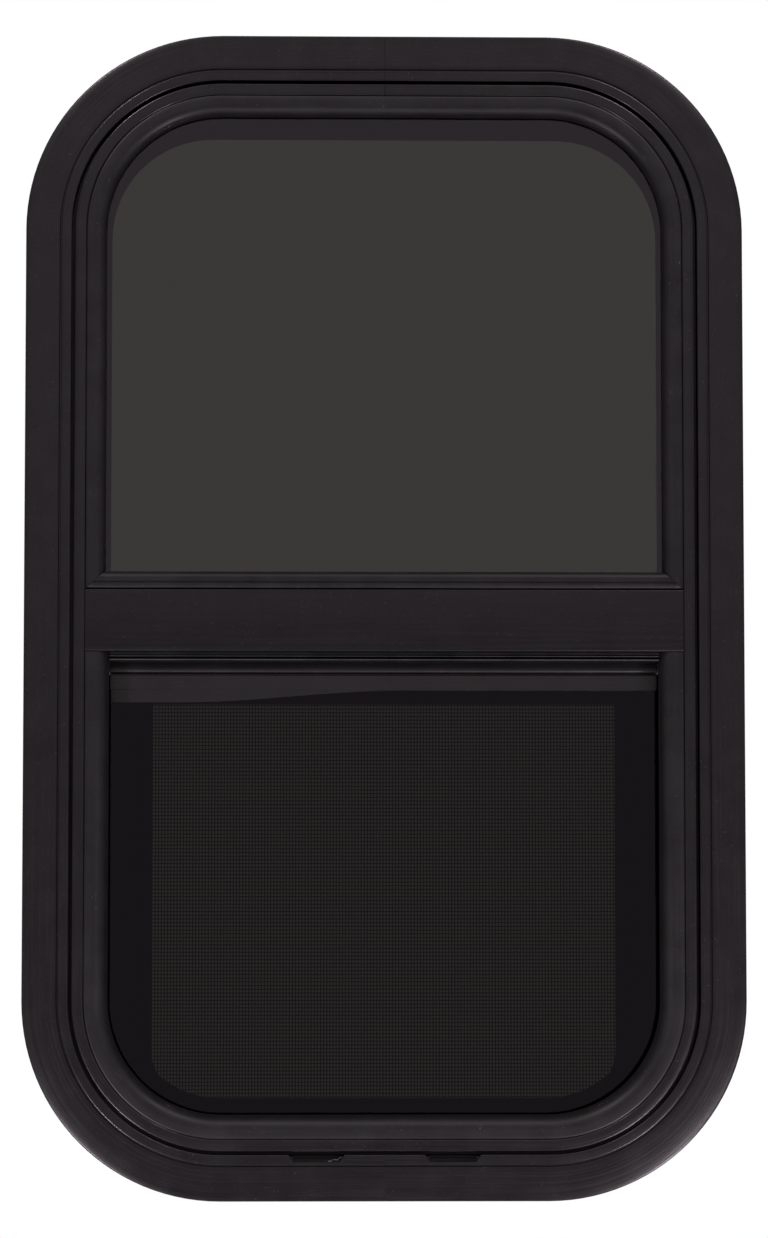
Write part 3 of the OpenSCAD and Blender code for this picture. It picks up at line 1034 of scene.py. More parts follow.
# Black zinc on the screws: dark metal with a faint brown cast
BLACK_ZINC = Surface(
    "black_zinc_screw", "#1d1c1c", "#2a2826", 0.33, 0.06, 0.5, 0.6, 0.004, metallic=1.0, shine="#ffffff",
)
# Closed-cell foam tape: soft open grain
FOAM = Surface("foam_tape", "#141415", "#1d1d1e", 0.85, 0.05, 0.2, 0.35, 0.06)
# Ceramic border fired on the glass: even black, faint screen-print grain
CERAMIC_INK = Surface("ceramic_border", "#0d0d0f", "#111113", 0.45, 0.03, 0.2, 0.25, 0.003)
# Polypropylene pile of the brush: dull fibres with a little sheen
PILE = Surface("brush_pile", "#121212", "#1c1b1a", 0.7, 0.05, 0.2, 0.3, 0.01, sheen=0.3)


@dataclass(frozen=True)
class TintedGlass:
    """Tempered float glass with a privacy tint, dark grey and even, with a faint roller wave.

    The IOR is below the 1.52 of glass, because the studio is white on all sides and the photo's
    surroundings are not, so that real reflections would wash out the tint.
    """

    name: str
    tint: str
    ior: float
    shine: str = "#ffeeff"
    wave: float = 60.0
    wave_depth: float = 0.004

    def material(self) -> bpy.types.Material:
        """Builds the glass: a smooth refracting surface over a slow wave.

        Returns:
            The material.
        """
        material, tree = blank(self.name)
        place = add(tree, "ShaderNodeTexCoord").outputs["Object"]
        wave = noise(tree, place, self.wave, 1.0)
        bump = add(
            tree, "ShaderNodeBump", {"Height": wave, "Distance": self.wave_depth * MM, "Strength": 1.0}
        )
        shader = add(
            tree, "ShaderNodeBsdfPrincipled",
            {
                "Base Color": linear(self.tint), "Roughness": 0.0, "IOR": self.ior,
                "Transmission Weight": 1.0, "Specular Tint": linear(self.shine),
                "Normal": bump.outputs["Normal"],
            },
        )
        add(tree, "ShaderNodeOutputMaterial", {"Surface": shader.outputs[0]})
        return material


UPPER_TINT = TintedGlass("privacy_glass_upper", "#262720", 1.262)
SASH_TINT = TintedGlass("privacy_glass_sash", "#20201c", 1.2)


@dataclass
class Dresser:
    """Gives pieces their finish and body, and reports them."""

    window: Window
    made: dict[str, bpy.types.Material] = field(default_factory=dict)
    count: int = 0

    def finish(self, surface: Surface | TintedGlass) -> bpy.types.Material:
        """The material of a finish, built once.

        Args:
            surface: The finish.

        Returns:
            Its material.
        """
        if surface.name not in self.made:
            self.made[surface.name] = surface.material()
        return self.made[surface.name]

    def node(self, name: str, surface: Surface | TintedGlass) -> None:
        """Gives a carried-over node its finish.

        Args:
            name: Name of the node.
            surface: Its finish.
        """
        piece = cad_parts[name]
        piece.data.materials.clear()
        piece.data.materials.append(self.finish(surface))
        LOG.info("node %s: %s", name, surface.name)

    def piece(
        self, piece: bpy.types.Object, surface: Surface | TintedGlass, body: Body, slot: Slot,
        replaces: Sequence[str] = (), smooth: float = 40.0, run: str = "",
    ) -> bpy.types.Object:
        """Dresses a finished mesh and hangs it on its body.

        Args:
            piece: The mesh object, at its place.
            surface: Its finish.
            body: The body it rides on.
            slot: The slot of its finish, not used.
            replaces: The nodes it stands for.
            smooth: Angle in degrees under which edges are smooth.
            run: "ring" or "bar" where the finish follows the extrusion.

        Returns:
            The piece.
        """
        select_only(piece)
        bpy.ops.object.shade_smooth_by_angle(angle=math.radians(smooth))
        if run:
            map_run(self.window, piece, straight=run == "bar")
        piece.data.materials.clear()
        piece.data.materials.append(self.finish(surface))
        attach(piece, body.value)
        if replaces:
            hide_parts(*replaces)
        self.count += 1
        LOG.info("piece %s: %d faces", piece.name, len(piece.data.polygons))
        return piece


def joint_gap(window: Window, floor: float) -> bpy.types.Object:
    """The cutter of the butt joint at the middle of the head, down to a level.

    Args:
        window: The window's sizes.
        floor: Level at which the cut ends.

    Returns:
        The cutter.
    """
    half_gap = 0.1
    high = (half_gap, window.half_h + 1, window.out_face + 1)
    return block(window, "joint_cut", (-half_gap, window.bend_y, floor), high, 0)


@dataclass
class FlangeRing:
    """The mounting flange: flat face, groove, raised lip and the two drain notches."""

    window: Window
    edge: float = 0.8
    lip_edge: float = 0.6
    notch_len: float = 26.4
    notch_at: float = 31.9
    notch_cut: float = 3.4
    notch_slope: float = 2.4
    roll_off: float = 0.8
    joint_floor: float = 0.9

    def section(self) -> list[Pair]:
        """Outline of the flange, from its back edge over the face to the lip and back.

        Returns:
            The outline as (inset, out) points.
        """
        w = self.window
        e, f = self.edge, self.lip_edge
        face = [(self.edge + (w.flange_w - self.edge) * i / 8, w.flange_t) for i in range(1, 8)]
        return [
            (0.0, 0.0),
            *arc((e, w.flange_t - e), e, 180, 90),
            *face,
            *arc((w.flange_w - 0.2, w.flange_t - 0.2), 0.2, 90, 0, 3),
            (w.flange_w + 0.1, w.flange_t - 0.6), (w.in_lip - 0.1, w.flange_t - 0.6),
            *arc((w.in_lip + f, w.out_face - f), f, 180, 90),
            *arc((w.in_gutter - f, w.out_face - f), f, 90, 0),
            (w.in_gutter, w.flange_t), (w.in_gutter - 1.2, w.flange_t),
            (w.in_gutter - 1.2, w.step_d), (w.in_lip + 0.4, w.step_d), (w.in_lip + 0.4, 0.0),
        ]

    def notch(self, side: int) -> bpy.types.Object:
        """The cutter of one drain notch, with slanted ends.

        Args:
            side: Left (-1) or right (1).

        Returns:
            The cutter.
        """
        w = self.window
        mouth = w.in_gutter - w.half_h
        half = self.notch_len / 2
        outline = [
            (-half, mouth + 1), (half, mouth + 1), (half, mouth),
            (half - self.notch_slope, mouth - self.notch_cut),
            (self.notch_slope - half, mouth - self.notch_cut), (-half, mouth),
        ]
        moved = [(x + side * self.notch_at, y) for x, y in outline]
        return plate(w, "notch_cut", moved, -1, w.out_face + 1)

    def roll_bends(self, piece: bpy.types.Object) -> None:
        """Lets the flange's face fall off towards its edge in the bends, as bending leaves it.

        Args:
            piece: The flange.
        """
        w = self.window
        for vertex in piece.data.vertices:
            spot = vertex.co / MM
            x, y, out = spot.x, spot.z - w.lift, -spot.y
            across, up = abs(x) - w.bend_x, abs(y) - w.bend_y
            inset = w.inset_of(x, y)
            if across <= 0 or up <= 0 or inset > w.flange_w or out < w.flange_t - self.edge - 0.01:
                continue
            bend = math.sin(2 * math.atan2(across, up)) ** 0.7
            share = 1 - inset / w.flange_w
            vertex.co.y += self.roll_off * bend * share ** 2.3 * MM

    def build(self, dresser: Dresser) -> None:
        """Sweeps the ring, cuts its joint and notches, and dresses it.

        Args:
            dresser: Takes each finished piece.
        """
        w = self.window
        piece = closed_ring(w, "flange", self.section())
        self.roll_bends(piece)
        for side in (-1, 1):
            cut(piece, self.notch(side))
        cut(piece, joint_gap(w, self.joint_floor))
        dresser.piece(piece, POWDER_COAT, Body.FRAME, Slot.COAT, ["mounting_flange"], run="ring")
        dresser.piece(self.burr(), TORN_METAL, Body.FRAME, Slot.COAT)

    def burr(self) -> bpy.types.Object:
        """The torn sliver at the left drain notch, bent up over the lip's edge.

        Returns:
            The sliver.
        """
        w = self.window
        x, y, out = -26.4, -256.9, w.out_face - 0.8
        section = [(x, y - 0.12, out), (x, y + 0.15, out - 0.2), (x, y + 0.2, out + 0.4), (x, y, out + 0.6)]
        legs = [Straight(1.4, 0.2, 2), Straight(1.2, 0.9, 3), Straight(1.3, -0.4, 3), Straight(2.2, 1.4, 4)]
        return sweep(w, "drain_burr", [w.at(*spot) for spot in section], legs)


@dataclass
class GlazingFrame:
    """The extrusion through the wall, with its flat face, glazing ledge, sash channel and screw slot."""

    window: Window
    edge: float = 0.6
    break_edge: float = 0.2
    drain_at: float = 31.9
    drain_half: float = 10.8
    drain_low: float = 18.3
    drain_high: float = 23.0

    def section(self) -> list[Pair]:
        """Outline of the extrusion, with the face's edges rounded and the others just broken.

        Returns:
            The outline as (inset, out) points.
        """
        w = self.window
        b = self.break_edge
        shoulder = w.in_lip + 0.8
        web, web_back = w.in_web, w.in_web + w.wall_t
        leg = w.in_pocket - 2
        port, port_back = web_back + w.port_w, web_back + w.port_w + 1.4
        end = 2 - w.wall_depth
        return rounded([
            (shoulder, w.step_d, 0), (web_back, w.step_d, b), (web_back, w.out_ledge, b),
            (leg, w.out_ledge, b), (leg, w.out_face - w.wall_t, b), (w.in_face, w.out_face - w.wall_t, b),
            (w.in_face, w.out_face, self.edge), (w.in_pocket, w.out_face, self.edge),
            (w.in_pocket, w.out_ledge, b), (w.in_ledge, w.out_ledge, b), (w.in_ledge, w.out_ledge_back, b),
            (web_back, w.out_ledge_back, b), (web_back, w.out_rear, b),
            (w.in_rear, w.out_rear, b), (w.in_rear, w.out_rear_back, b), (port_back, w.out_rear_back, b),
            (port_back, end, b), (port, end, b), (port, w.out_rear_back, b),
            (web_back, w.out_rear_back, b), (web_back, end, b), (web, end, b),
            (web, w.step_d - w.wall_t, b), (shoulder, w.step_d - w.wall_t, 0),
        ], 4)

    def build(self, dresser: Dresser) -> None:
        """Sweeps the frame, cuts its butt joint and dresses it, with the plate behind the joint.

        Args:
            dresser: Takes each finished piece.
        """
        w = self.window
        piece = closed_ring(w, "frame_extrusion", self.section())
        cut(piece, joint_gap(w, -w.wall_depth))
        for side in (-1, 1):
            low = (side * self.drain_at - self.drain_half, self.drain_low - w.half_h, -6)
            high = (side * self.drain_at + self.drain_half, self.drain_high - w.half_h, 1)
            cut(piece, block(w, "drain_cut", low, high, 0))
        dresser.piece(piece, POWDER_COAT, Body.FRAME, Slot.COAT, ["glazing_frame"], smooth=35, run="ring")
        dresser.node("frame_joint_plate", ZINC_PLATE)


@dataclass
class FixedGlazing:
    """The fixed glass with its printed border, rubber bead, bead strip, tape and blocks."""

    window: Window
    bead_roll: float = 4.9
    clear_half: float = 129.5
    clear_top: float = 227.2
    clear_foot: float = 20.4
    clear_r: float = 48.0
    ink_t: float = 0.05

    def bead(self) -> bpy.types.Object:
        """The bead from the bar over the head, mitred at the bar.

        Returns:
            The bead.
        """
        w = self.window
        foot = w.bar_top + w.seat_gap
        start = w.in_pocket + w.seat_gap
        section = [
            (start, w.out_glass), (start, w.out_bead - 0.4), (start + 0.3, w.out_bead - 0.1),
            (start + 1.0, w.out_bead), (w.in_bead - self.bead_roll - 0.8, w.out_bead + 0.05),
            *arc((w.in_bead - self.bead_roll, w.out_bead - self.bead_roll), self.bead_roll, 90, 6, 12),
            (w.in_bead - 0.1, w.out_glass + 0.5), (w.in_bead, w.out_glass),
        ]
        piece = head_loop(w, "glass_bead", section, foot)
        for side in (-1, 1):
            cut(piece, self.mitre(side, False))
        return piece

    def mitre(self, side: int, over: bool) -> bpy.types.Object:
        """A cutter for the corner that the bead and its strip share.

        Args:
            side: Left (-1) or right (1).
            over: True for the strip's cut, False for the bead's.

        Returns:
            The cutter.
        """
        w = self.window
        x_out, x_in = w.half_w - w.in_pocket, w.half_w - w.in_bead
        y_low, y_high = w.bar_top + w.seat_gap, w.bar_top + w.strip_h
        slope = (y_high - y_low) / w.bead_w
        corner = (x_out, y_high) if over else (x_in, y_low)
        reach = 20 if over else -20
        lower = w.seat_gap if over else 0
        outline = [
            (x_out + 1, y_low - slope - lower), (x_in - 1, y_high + slope - lower),
            (corner[0] + reach, corner[1] + reach),
        ]
        turned = [(side * x, y) for x, y in outline]
        return plate(w, "mitre_cut", turned, w.out_glass - 1, w.out_glass + 11)

    def strip(self) -> bpy.types.Object:
        """The strip on the bar, with the line where its two lips meet.

        Returns:
            The strip.
        """
        w = self.window
        foot, head, roll = w.bar_top + w.seat_gap, w.bar_top + w.strip_h, 3.0
        section = [
            (foot, w.out_glass), (foot, w.out_bead - 4), (foot + 0.55, w.out_bead - 3.6),
            (foot + 0.55, w.out_bead - 0.3), (foot + 0.85, w.out_bead), (foot + 3, w.out_bead),
            (foot + 3.2, w.out_bead - 0.4), (foot + 3.6, w.out_bead - 0.4), (foot + 3.8, w.out_bead),
            *arc((head - roll, w.out_bead - roll), roll, 90, 6, 8), (head, w.out_glass),
        ]
        piece = crossbar(w, "glass_bead_strip", section, w.half_w - w.in_pocket - w.seat_gap, 60)
        for side in (-1, 1):
            cut(piece, self.mitre(side, True))
        return piece

    def border(self) -> bpy.types.Object:
        """The black border printed on the glass's room side.

        Returns:
            The printed film.
        """
        w = self.window
        outer = w.in_pocket + 2
        level = w.out_ledge + w.tape_t - self.ink_t
        ring = head_outline(w, w.half_w - outer, w.half_h - outer, w.bar_top + 2, w.corner_r - outer)
        window_line = head_outline(w, self.clear_half, self.clear_top, self.clear_foot, self.clear_r)
        return printed_ring(w, "glass_border", ring, window_line, level, self.ink_t)

    def build(self, dresser: Dresser) -> None:
        """Builds and dresses the fixed half.

        Args:
            dresser: Takes each finished piece.
        """
        bead = self.bead()
        ripple(bead, 45, 0.12)
        dresser.piece(bead, EPDM, Body.FRAME, Slot.RUBBER, ["upper_bead"], smooth=50, run="ring")
        strip = self.strip()
        ripple(strip, 35, 0.15)
        dresser.piece(strip, EPDM, Body.FRAME, Slot.RUBBER, ["upper_bead_strip"], smooth=50, run="bar")
        dresser.piece(self.border(), CERAMIC_INK, Body.FRAME, Slot.GLASS)
        dresser.node("upper_glass", UPPER_TINT)
        dresser.node("glazing_tape", FOAM)
        dresser.node("setting_blocks", NYLON)


def head_outline(window: Window, half: float, top: float, foot: float, radius: float) -> list[Pair]:
    """Outline with round upper corners and a straight foot, clockwise from the left foot.

    Args:
        window: The window's sizes, not used.
        half: Half its width.
        top: Height of its upper edge.
        foot: Height of its lower edge.
        radius: Radius of its round corners.

    Returns:
        The outline as (x, y) points.
    """
    return [
        (-half, foot), (-half, top - radius),
        *arc((radius - half, top - radius), radius, 180, 90, 16)[1:],
        *arc((half - radius, top - radius), radius, 90, 0, 16),
        (half, foot),
    ]


def foot_outline(window: Window, half: float, foot: float, top: float, radius: float) -> list[Pair]:
    """Outline with round lower corners and a straight top, clockwise from the right top.

    Args:
        window: The window's sizes, not used.
        half: Half its width.
        top: Height of its upper edge.
        foot: Height of its lower edge.
        radius: Radius of its round corners.

    Returns:
        The outline as (x, y) points.
    """
    return [
        (half, top), (half, foot + radius),
        *arc((half - radius, foot + radius), radius, 0, -90, 16)[1:],
        *arc((radius - half, foot + radius), radius, -90, -180, 16),
        (-half, top),
    ]


def printed_ring(
    window: Window, name: str, outer: Sequence[Pair], inner: Sequence[Pair], level: float, depth: float
) -> bpy.types.Object:
    """A thin printed film between two outlines.

    Args:
        window: The window's sizes.
        name: Name of the piece.
        outer: The outer outline.
        inner: The outline of the opening.
        level: Level of the film's back.
        depth: Thickness of the film.

    Returns:
        The film as a closed mesh.
    """
    film = plate(window, name, outer, level, level + depth)
    cut(film, plate(window, "opening_cut", inner, level - 1, level + depth + 1))
    return film


@dataclass
class MiddleBar:
    """The bar between the halves, with its end brackets and the seal under it."""

    window: Window
    seal_h: float = 4.4
    lip_rods: tuple[Pair, ...] = ((1.9, 0.2), (3.5, 0.42))

    def bar(self) -> bpy.types.Object:
        """The bar's channel, with its face's edges rounded.

        Returns:
            The bar.
        """
        w = self.window
        foot, out = w.bar_bottom, w.out_face - w.bar_back
        section = rounded([
            (w.bar_top, w.out_ledge, 0), (w.bar_top, out, 0.4), (foot, out, 0.7), (foot, w.out_ledge, 0),
            (foot + w.wall_t, w.out_ledge, 0), (foot + w.wall_t, out - w.wall_t, 0),
            (w.bar_top - w.wall_t, out - w.wall_t, 0), (w.bar_top - w.wall_t, w.out_ledge_back, 0),
            (w.bar_top + w.strip_h, w.out_ledge_back, 0), (w.bar_top + w.strip_h, w.out_ledge, 0),
        ], 5)
        half, half_back = w.half_w - w.in_pocket - 0.2, w.half_w - w.in_ledge - 0.2
        piece = crossbar(w, "bar_extrusion", section, half)
        for side in (-1, 1):
            ends = sorted((side * half_back, side * (half_back + 40)))
            low = (ends[0], foot - 1, w.out_ledge - 5)
            cut(piece, block(w, "end_cut", low, (ends[1], w.bar_top + w.strip_h + 1, w.out_ledge), 0))
        return piece

    def seal(self) -> bpy.types.Object:
        """The wiper under the bar, with a rounded lower lip.

        Returns:
            The wiper.
        """
        w = self.window
        head, foot = w.bar_bottom, w.bar_bottom - self.seal_h
        front, tip = w.out_ledge + 7.4, w.out_nose + 0.5
        section = [
            (head, front), (head - 1.0, front), (head - 1.3, front - 0.3), (head - 1.6, front - 1),
            (head - 2.2, front - 1), *arc((foot + 0.8, front - 1.4), 0.8, 0, 180, 8),
            (foot, tip), (foot + 1.4, tip), (foot + 1.4, front - 3), (head - 1.4, front - 3),
            (head - 1.4, w.out_ledge), (head, w.out_ledge),
        ]
        return crossbar(w, "bar_wiper", section, w.half_w - w.in_ledge - 1.0)

    def lips(self) -> bpy.types.Object:
        """The two fine lips that stand on the wiper's front.

        Returns:
            Both lips.
        """
        w = self.window
        front = w.out_ledge + 7.4
        half = w.half_w - w.in_ledge - 1.1
        made = []
        for height, radius in self.lip_rods:
            rod = arc((w.bar_bottom - height, front - radius * 0.6), radius, 0, 330, 11)
            made.append(crossbar(w, "lip", rod, half, 12))
        return join("bar_wiper_lips", made)

    def build(self, dresser: Dresser) -> None:
        """Builds and dresses the bar.

        Args:
            dresser: Takes each finished piece.
        """
        dresser.piece(self.lips(), LIP_RUBBER, Body.FRAME, Slot.RUBBER, smooth=50)
        # the bar's coat is a darker copy of the frame's coat: painted shade
        dresser.piece(self.bar(), BAR_COAT_PAINTED_SHADE, Body.FRAME, Slot.COAT, ["middle_bar"], run="bar")
        wiper = self.seal()
        # the wiper's deep black is painted shade for the shadow under the bar
        dresser.piece(wiper, WIPER_RUBBER_PAINTED_SHADE, Body.FRAME, Slot.RUBBER, ["bar_seal"], smooth=50, run="bar")
        dresser.node("bar_brackets", ZINC_PLATE)


@dataclass
class SashOpening:
    """The rubber bead round the sash opening, the lined track and the keeper strips."""

    window: Window
    roll: float = 6.9
    thick: float = 1.6
    lip: float = 0.7

    def bead(self) -> bpy.types.Object:
        """The hollow bead, from the bar's foot round the bottom.

        Returns:
            The bead.
        """
        w = self.window
        inner = w.in_ledge + self.lip
        centre = (inner - self.roll, w.out_bead - self.roll)
        start = w.in_pocket + w.seat_gap
        section = [
            (start, w.out_ledge), (start, w.out_bead - 0.4), (start + 0.3, w.out_bead - 0.1),
            (start + 1.0, w.out_bead), *arc(centre, self.roll, 90, 0, 16),
            (inner, w.out_ledge_back), (w.in_ledge + w.seat_gap, w.out_ledge_back),
            (w.in_ledge + w.seat_gap, w.out_ledge), (inner - self.thick, w.out_ledge),
            *arc(centre, self.roll - self.thick, 0, 90, 12),
            (w.in_pocket + self.thick, w.out_bead - self.thick), (w.in_pocket + self.thick, w.out_ledge),
        ]
        return foot_loop(w, "sash_bead", section, w.bar_bottom - 0.2)

    def build(self, dresser: Dresser) -> None:
        """Builds and dresses the opening.

        Args:
            dresser: Takes each finished piece.
        """
        bead = self.bead()
        ripple(bead, 50, 0.1)
        dresser.piece(bead, EPDM, Body.FRAME, Slot.RUBBER, ["lower_bead"], smooth=50, run="ring")
        dresser.node("sash_track", NYLON)
        for side in ("left", "right"):
            dresser.node(f"keeper_{side}", ZINC_PLATE)


@dataclass
class Sash:
    """The sliding sash: glass with its printed border, rail, finger pull and latches."""

    window: Window
    clear_half: float = 110.0
    clear_foot: float = -229.0
    clear_top: float = -42.0
    clear_r: float = 23.6
    cap_w: float = 4.6
    lean: float = 1.8
    # the foot lip's lower edge drops to trace the edge of the shade below the rail: painted light
    shade_drop: float = 6.0
    shade_drop_start: float = -96.0
    shade_drop_end: float = 8.0
    lip_t: float = 0.7
    ink_t: float = 0.05
    pull_half: float = 35.0
    pull_d: float = 11.0
    pull_h: float = 5.6
    latch_len: float = 26.0
    latch_h: float = 5.6
    latch_d: float = 8.4
    bolt_r: float = 1.6
    bolt_in: float = 3.0
    tab_w: float = 3.0
    tab_h: float = 2.4

    @property
    def glass_top(self) -> float:
        """Height of the sash glass's upper edge."""
        return self.window.rail_foot + self.window.nose_at - 0.7

    @property
    def latch_y(self) -> float:
        """Height of the latches' middle."""
        return self.window.rail_foot + 8.8

    def rail(self) -> bpy.types.Object:
        """The rail over the glass, with its rounded nose.

        Returns:
            The rail.
        """
        w = self.window
        foot, top = w.rail_foot, w.rail_top
        nose_foot = foot + w.nose_at
        slot_top = self.glass_top + 0.2
        floor = slot_top + w.wall_t
        front, back = w.out_sash + 0.1, w.out_sash_back - 0.1
        # the nose leans back above its rounded foot, into the shade of the bar
        section = [
            (foot + 0.2, w.out_rail), (nose_foot - 1.2, w.out_rail), (nose_foot - 0.9, w.out_rail - 0.4),
            (nose_foot - 0.5, w.out_rail - 0.4),
            *arc((nose_foot + 1.5, w.out_nose - 1.5), 1.5, 180, 84, 8),
            (top - 0.4, w.out_nose - self.lean), (top, w.out_nose - self.lean - 0.4),
            (top, w.out_nose - self.lean - w.wall_t), (floor, w.out_nose - self.lean - w.wall_t),
            (floor, w.out_rear + w.wall_t), (top, w.out_rear + w.wall_t),
            (top, w.out_rear), (foot, w.out_rear), (foot, back), (slot_top, back), (slot_top, front),
            (foot, front), (foot, w.out_rail - 0.2),
        ]
        return crossbar(w, "sash_rail_extrusion", section, w.rail_half, 40)

    def border(self) -> bpy.types.Object:
        """The black border printed on the sash glass's room side.

        Returns:
            The printed film.
        """
        w = self.window
        track = w.in_pocket + 4.4
        half = w.half_w - track - 1.3
        foot = track + 0.4 - w.half_h
        outer = foot_outline(w, half, foot, self.glass_top - 0.2, w.corner_r - track)
        inner = foot_outline(w, self.clear_half, self.clear_foot, self.clear_top, self.clear_r)
        return printed_ring(w, "sash_border", outer, inner, w.out_sash_back - self.ink_t - 0.02, self.ink_t)

    def foot_lip(self) -> bpy.types.Object:
        """The rubber lip under the rail's face, its lower edge lowest at the left: painted light and shade,
        tracing where the rail's lit face gives way to shade.

        Returns:
            The lip.
        """
        w = self.window
        left, right = 0.4 - w.rail_half, w.rail_half - 0.4
        top = w.rail_foot + 1
        steps = 20
        # painted light: the lip's lower edge follows the shade's edge, lowest at the left
        outline = [(left, w.rail_foot - self.shade_drop), (left, top), (right, top), (right, w.rail_foot - 0.3)]
        for i in range(steps + 1):
            share = i / steps
            ease = share * share * (3 - 2 * share)
            x = self.shade_drop_end + (self.shade_drop_start - self.shade_drop_end) * share
            outline.append((x, w.rail_foot - 0.3 - (self.shade_drop - 0.3) * ease))
        level = w.out_sash + 0.04
        return plate(w, "rail_foot_lip", outline, level, level + self.lip_t)

    def end_caps(self) -> bpy.types.Object:
        """The plugs in the rail's ends, which close it towards the tracks.

        Returns:
            Both plugs.
        """
        w = self.window
        low = (w.rail_half - 0.2, self.glass_top + 0.3, w.out_rear + 1.0)
        high = (w.rail_half + self.cap_w, w.rail_top - 0.3, w.out_rail - 0.4)
        right = block(w, "cap_right", low, high, 0.5)
        return join("rail_end_caps", [right, mirrored(right, "cap_left")])

    def pull(self) -> bpy.types.Object:
        """The finger pull: a hooked strip with rounded ends and grip ridges under it.

        Returns:
            The pull.
        """
        w = self.window
        head = self.latch_y + self.latch_h / 2
        deep = w.out_rear - self.pull_d
        section = rounded([
            (head, w.out_rear, 0), (head, deep, 0.9), (head - self.pull_h, deep, 0.5),
            (head - self.pull_h, deep + w.wall_t, 0.5), (head - w.wall_t, deep + w.wall_t, 0.7),
            (head - w.wall_t, w.out_rear, 0),
        ], 5)
        bar = crossbar(w, "finger_pull", section, self.pull_half, 8)
        ridges = []
        for i in range(-14, 15):
            low = (i * 2.2 - 0.4, head - self.pull_h + 0.4, deep - 0.02)
            high = (i * 2.2 + 0.4, head - 1.4, deep + 0.35)
            ridges.append(block(w, "ridge", low, high, 0.12))
        cut(bar, join("ridges", ridges))
        return bar

    def latch_body(self) -> bpy.types.Object:
        """The right latch's housing, bored for the bolt and slotted for its tab.

        Returns:
            The housing.
        """
        w = self.window
        x_end = w.rail_half - 2
        x_mid = x_end - self.latch_len / 2
        deep = w.out_rear - self.latch_d
        low = (x_end - self.latch_len, self.latch_y - self.latch_h / 2, deep)
        high = (x_end, self.latch_y + self.latch_h / 2, w.out_rear)
        piece = block(w, "latch_housing_right", low, high, 0.5)
        bolt_out = deep + self.bolt_in
        cut(piece, cylinder(w, (x_mid, self.latch_y, bolt_out), self.bolt_r + 0.2, 40, ACROSS))
        slot_half = 4.5 + self.tab_w / 2
        slot = block(
            w, "tab_slot", (x_mid - slot_half, self.latch_y - self.tab_h / 2 - 0.2, deep - 1),
            (x_mid + slot_half, self.latch_y + self.tab_h / 2 + 0.2, bolt_out), 0.3,
        )
        cut(piece, slot)
        return piece

    def latch_bolt(self) -> bpy.types.Object:
        """The right latch's bolt, with a chamfered tip and a ribbed finger tab.

        Returns:
            The bolt with its tab.
        """
        w = self.window
        tip = w.half_w - w.in_rear - 1.6
        back = w.rail_half - self.latch_len
        x_tab = w.rail_half - 2 - self.latch_len / 2 - 4.5 + 0.2
        bolt_out = w.out_rear - self.latch_d + self.bolt_in
        rod = cylinder(
            w, ((tip + back) / 2, self.latch_y, bolt_out), self.bolt_r, tip - back, ACROSS
        )
        apply_modifier(rod, "BEVEL", width=0.5 * MM, segments=2, limit_method="ANGLE")
        tab_end = w.out_rear - self.pull_d
        tab = block(
            w, "tab", (x_tab - self.tab_w / 2, self.latch_y - self.tab_h / 2, tab_end),
            (x_tab + self.tab_w / 2, self.latch_y + self.tab_h / 2, bolt_out), 0.35,
        )
        grooves = [
            block(w, "rib", (x_tab + i * 0.8 - 0.15, self.latch_y - 2, tab_end - 0.5),
                  (x_tab + i * 0.8 + 0.15, self.latch_y + 2, tab_end + 0.25), 0)
            for i in (-1, 0, 1)
        ]
        cut(tab, join("ribs", grooves))
        return join("latch_pin_right", [rod, tab])

    def build(self, dresser: Dresser) -> None:
        """Builds and dresses the sash.

        Args:
            dresser: Takes each finished piece.
        """
        # the rail's coat is a lighter copy of the frame's coat: painted light
        dresser.piece(self.rail(), RAIL_COAT_PAINTED_LIGHT, Body.SASH, Slot.COAT, ["sash_rail"], run="bar")
        dresser.piece(self.border(), CERAMIC_INK, Body.SASH, Slot.GLASS)
        # the foot lip is painted light: its lower edge traces where the shade below the rail begins
        dresser.piece(self.foot_lip(), LIT_LIP_RUBBER, Body.SASH, Slot.RUBBER)
        dresser.piece(self.end_caps(), NYLON, Body.SASH, Slot.PLASTIC)
        dresser.piece(self.pull(), POWDER_COAT, Body.SASH, Slot.COAT, ["sash_pull"], run="bar")
        housing, pin = self.latch_body(), self.latch_bolt()
        housing_left = mirrored(housing, "latch_housing_left")
        pin_left = mirrored(pin, "latch_pin_left")
        for side, body, bolt in (("right", housing, pin), ("left", housing_left, pin_left)):
            dresser.piece(body, NYLON, Body.SASH, Slot.PLASTIC, [f"latch_body_{side}"])
            dresser.piece(bolt, ZINC_PLATE, Body.SASH, Slot.ZINC, [f"latch_bolt_{side}"])
        dresser.node("sash_glass", SASH_TINT)


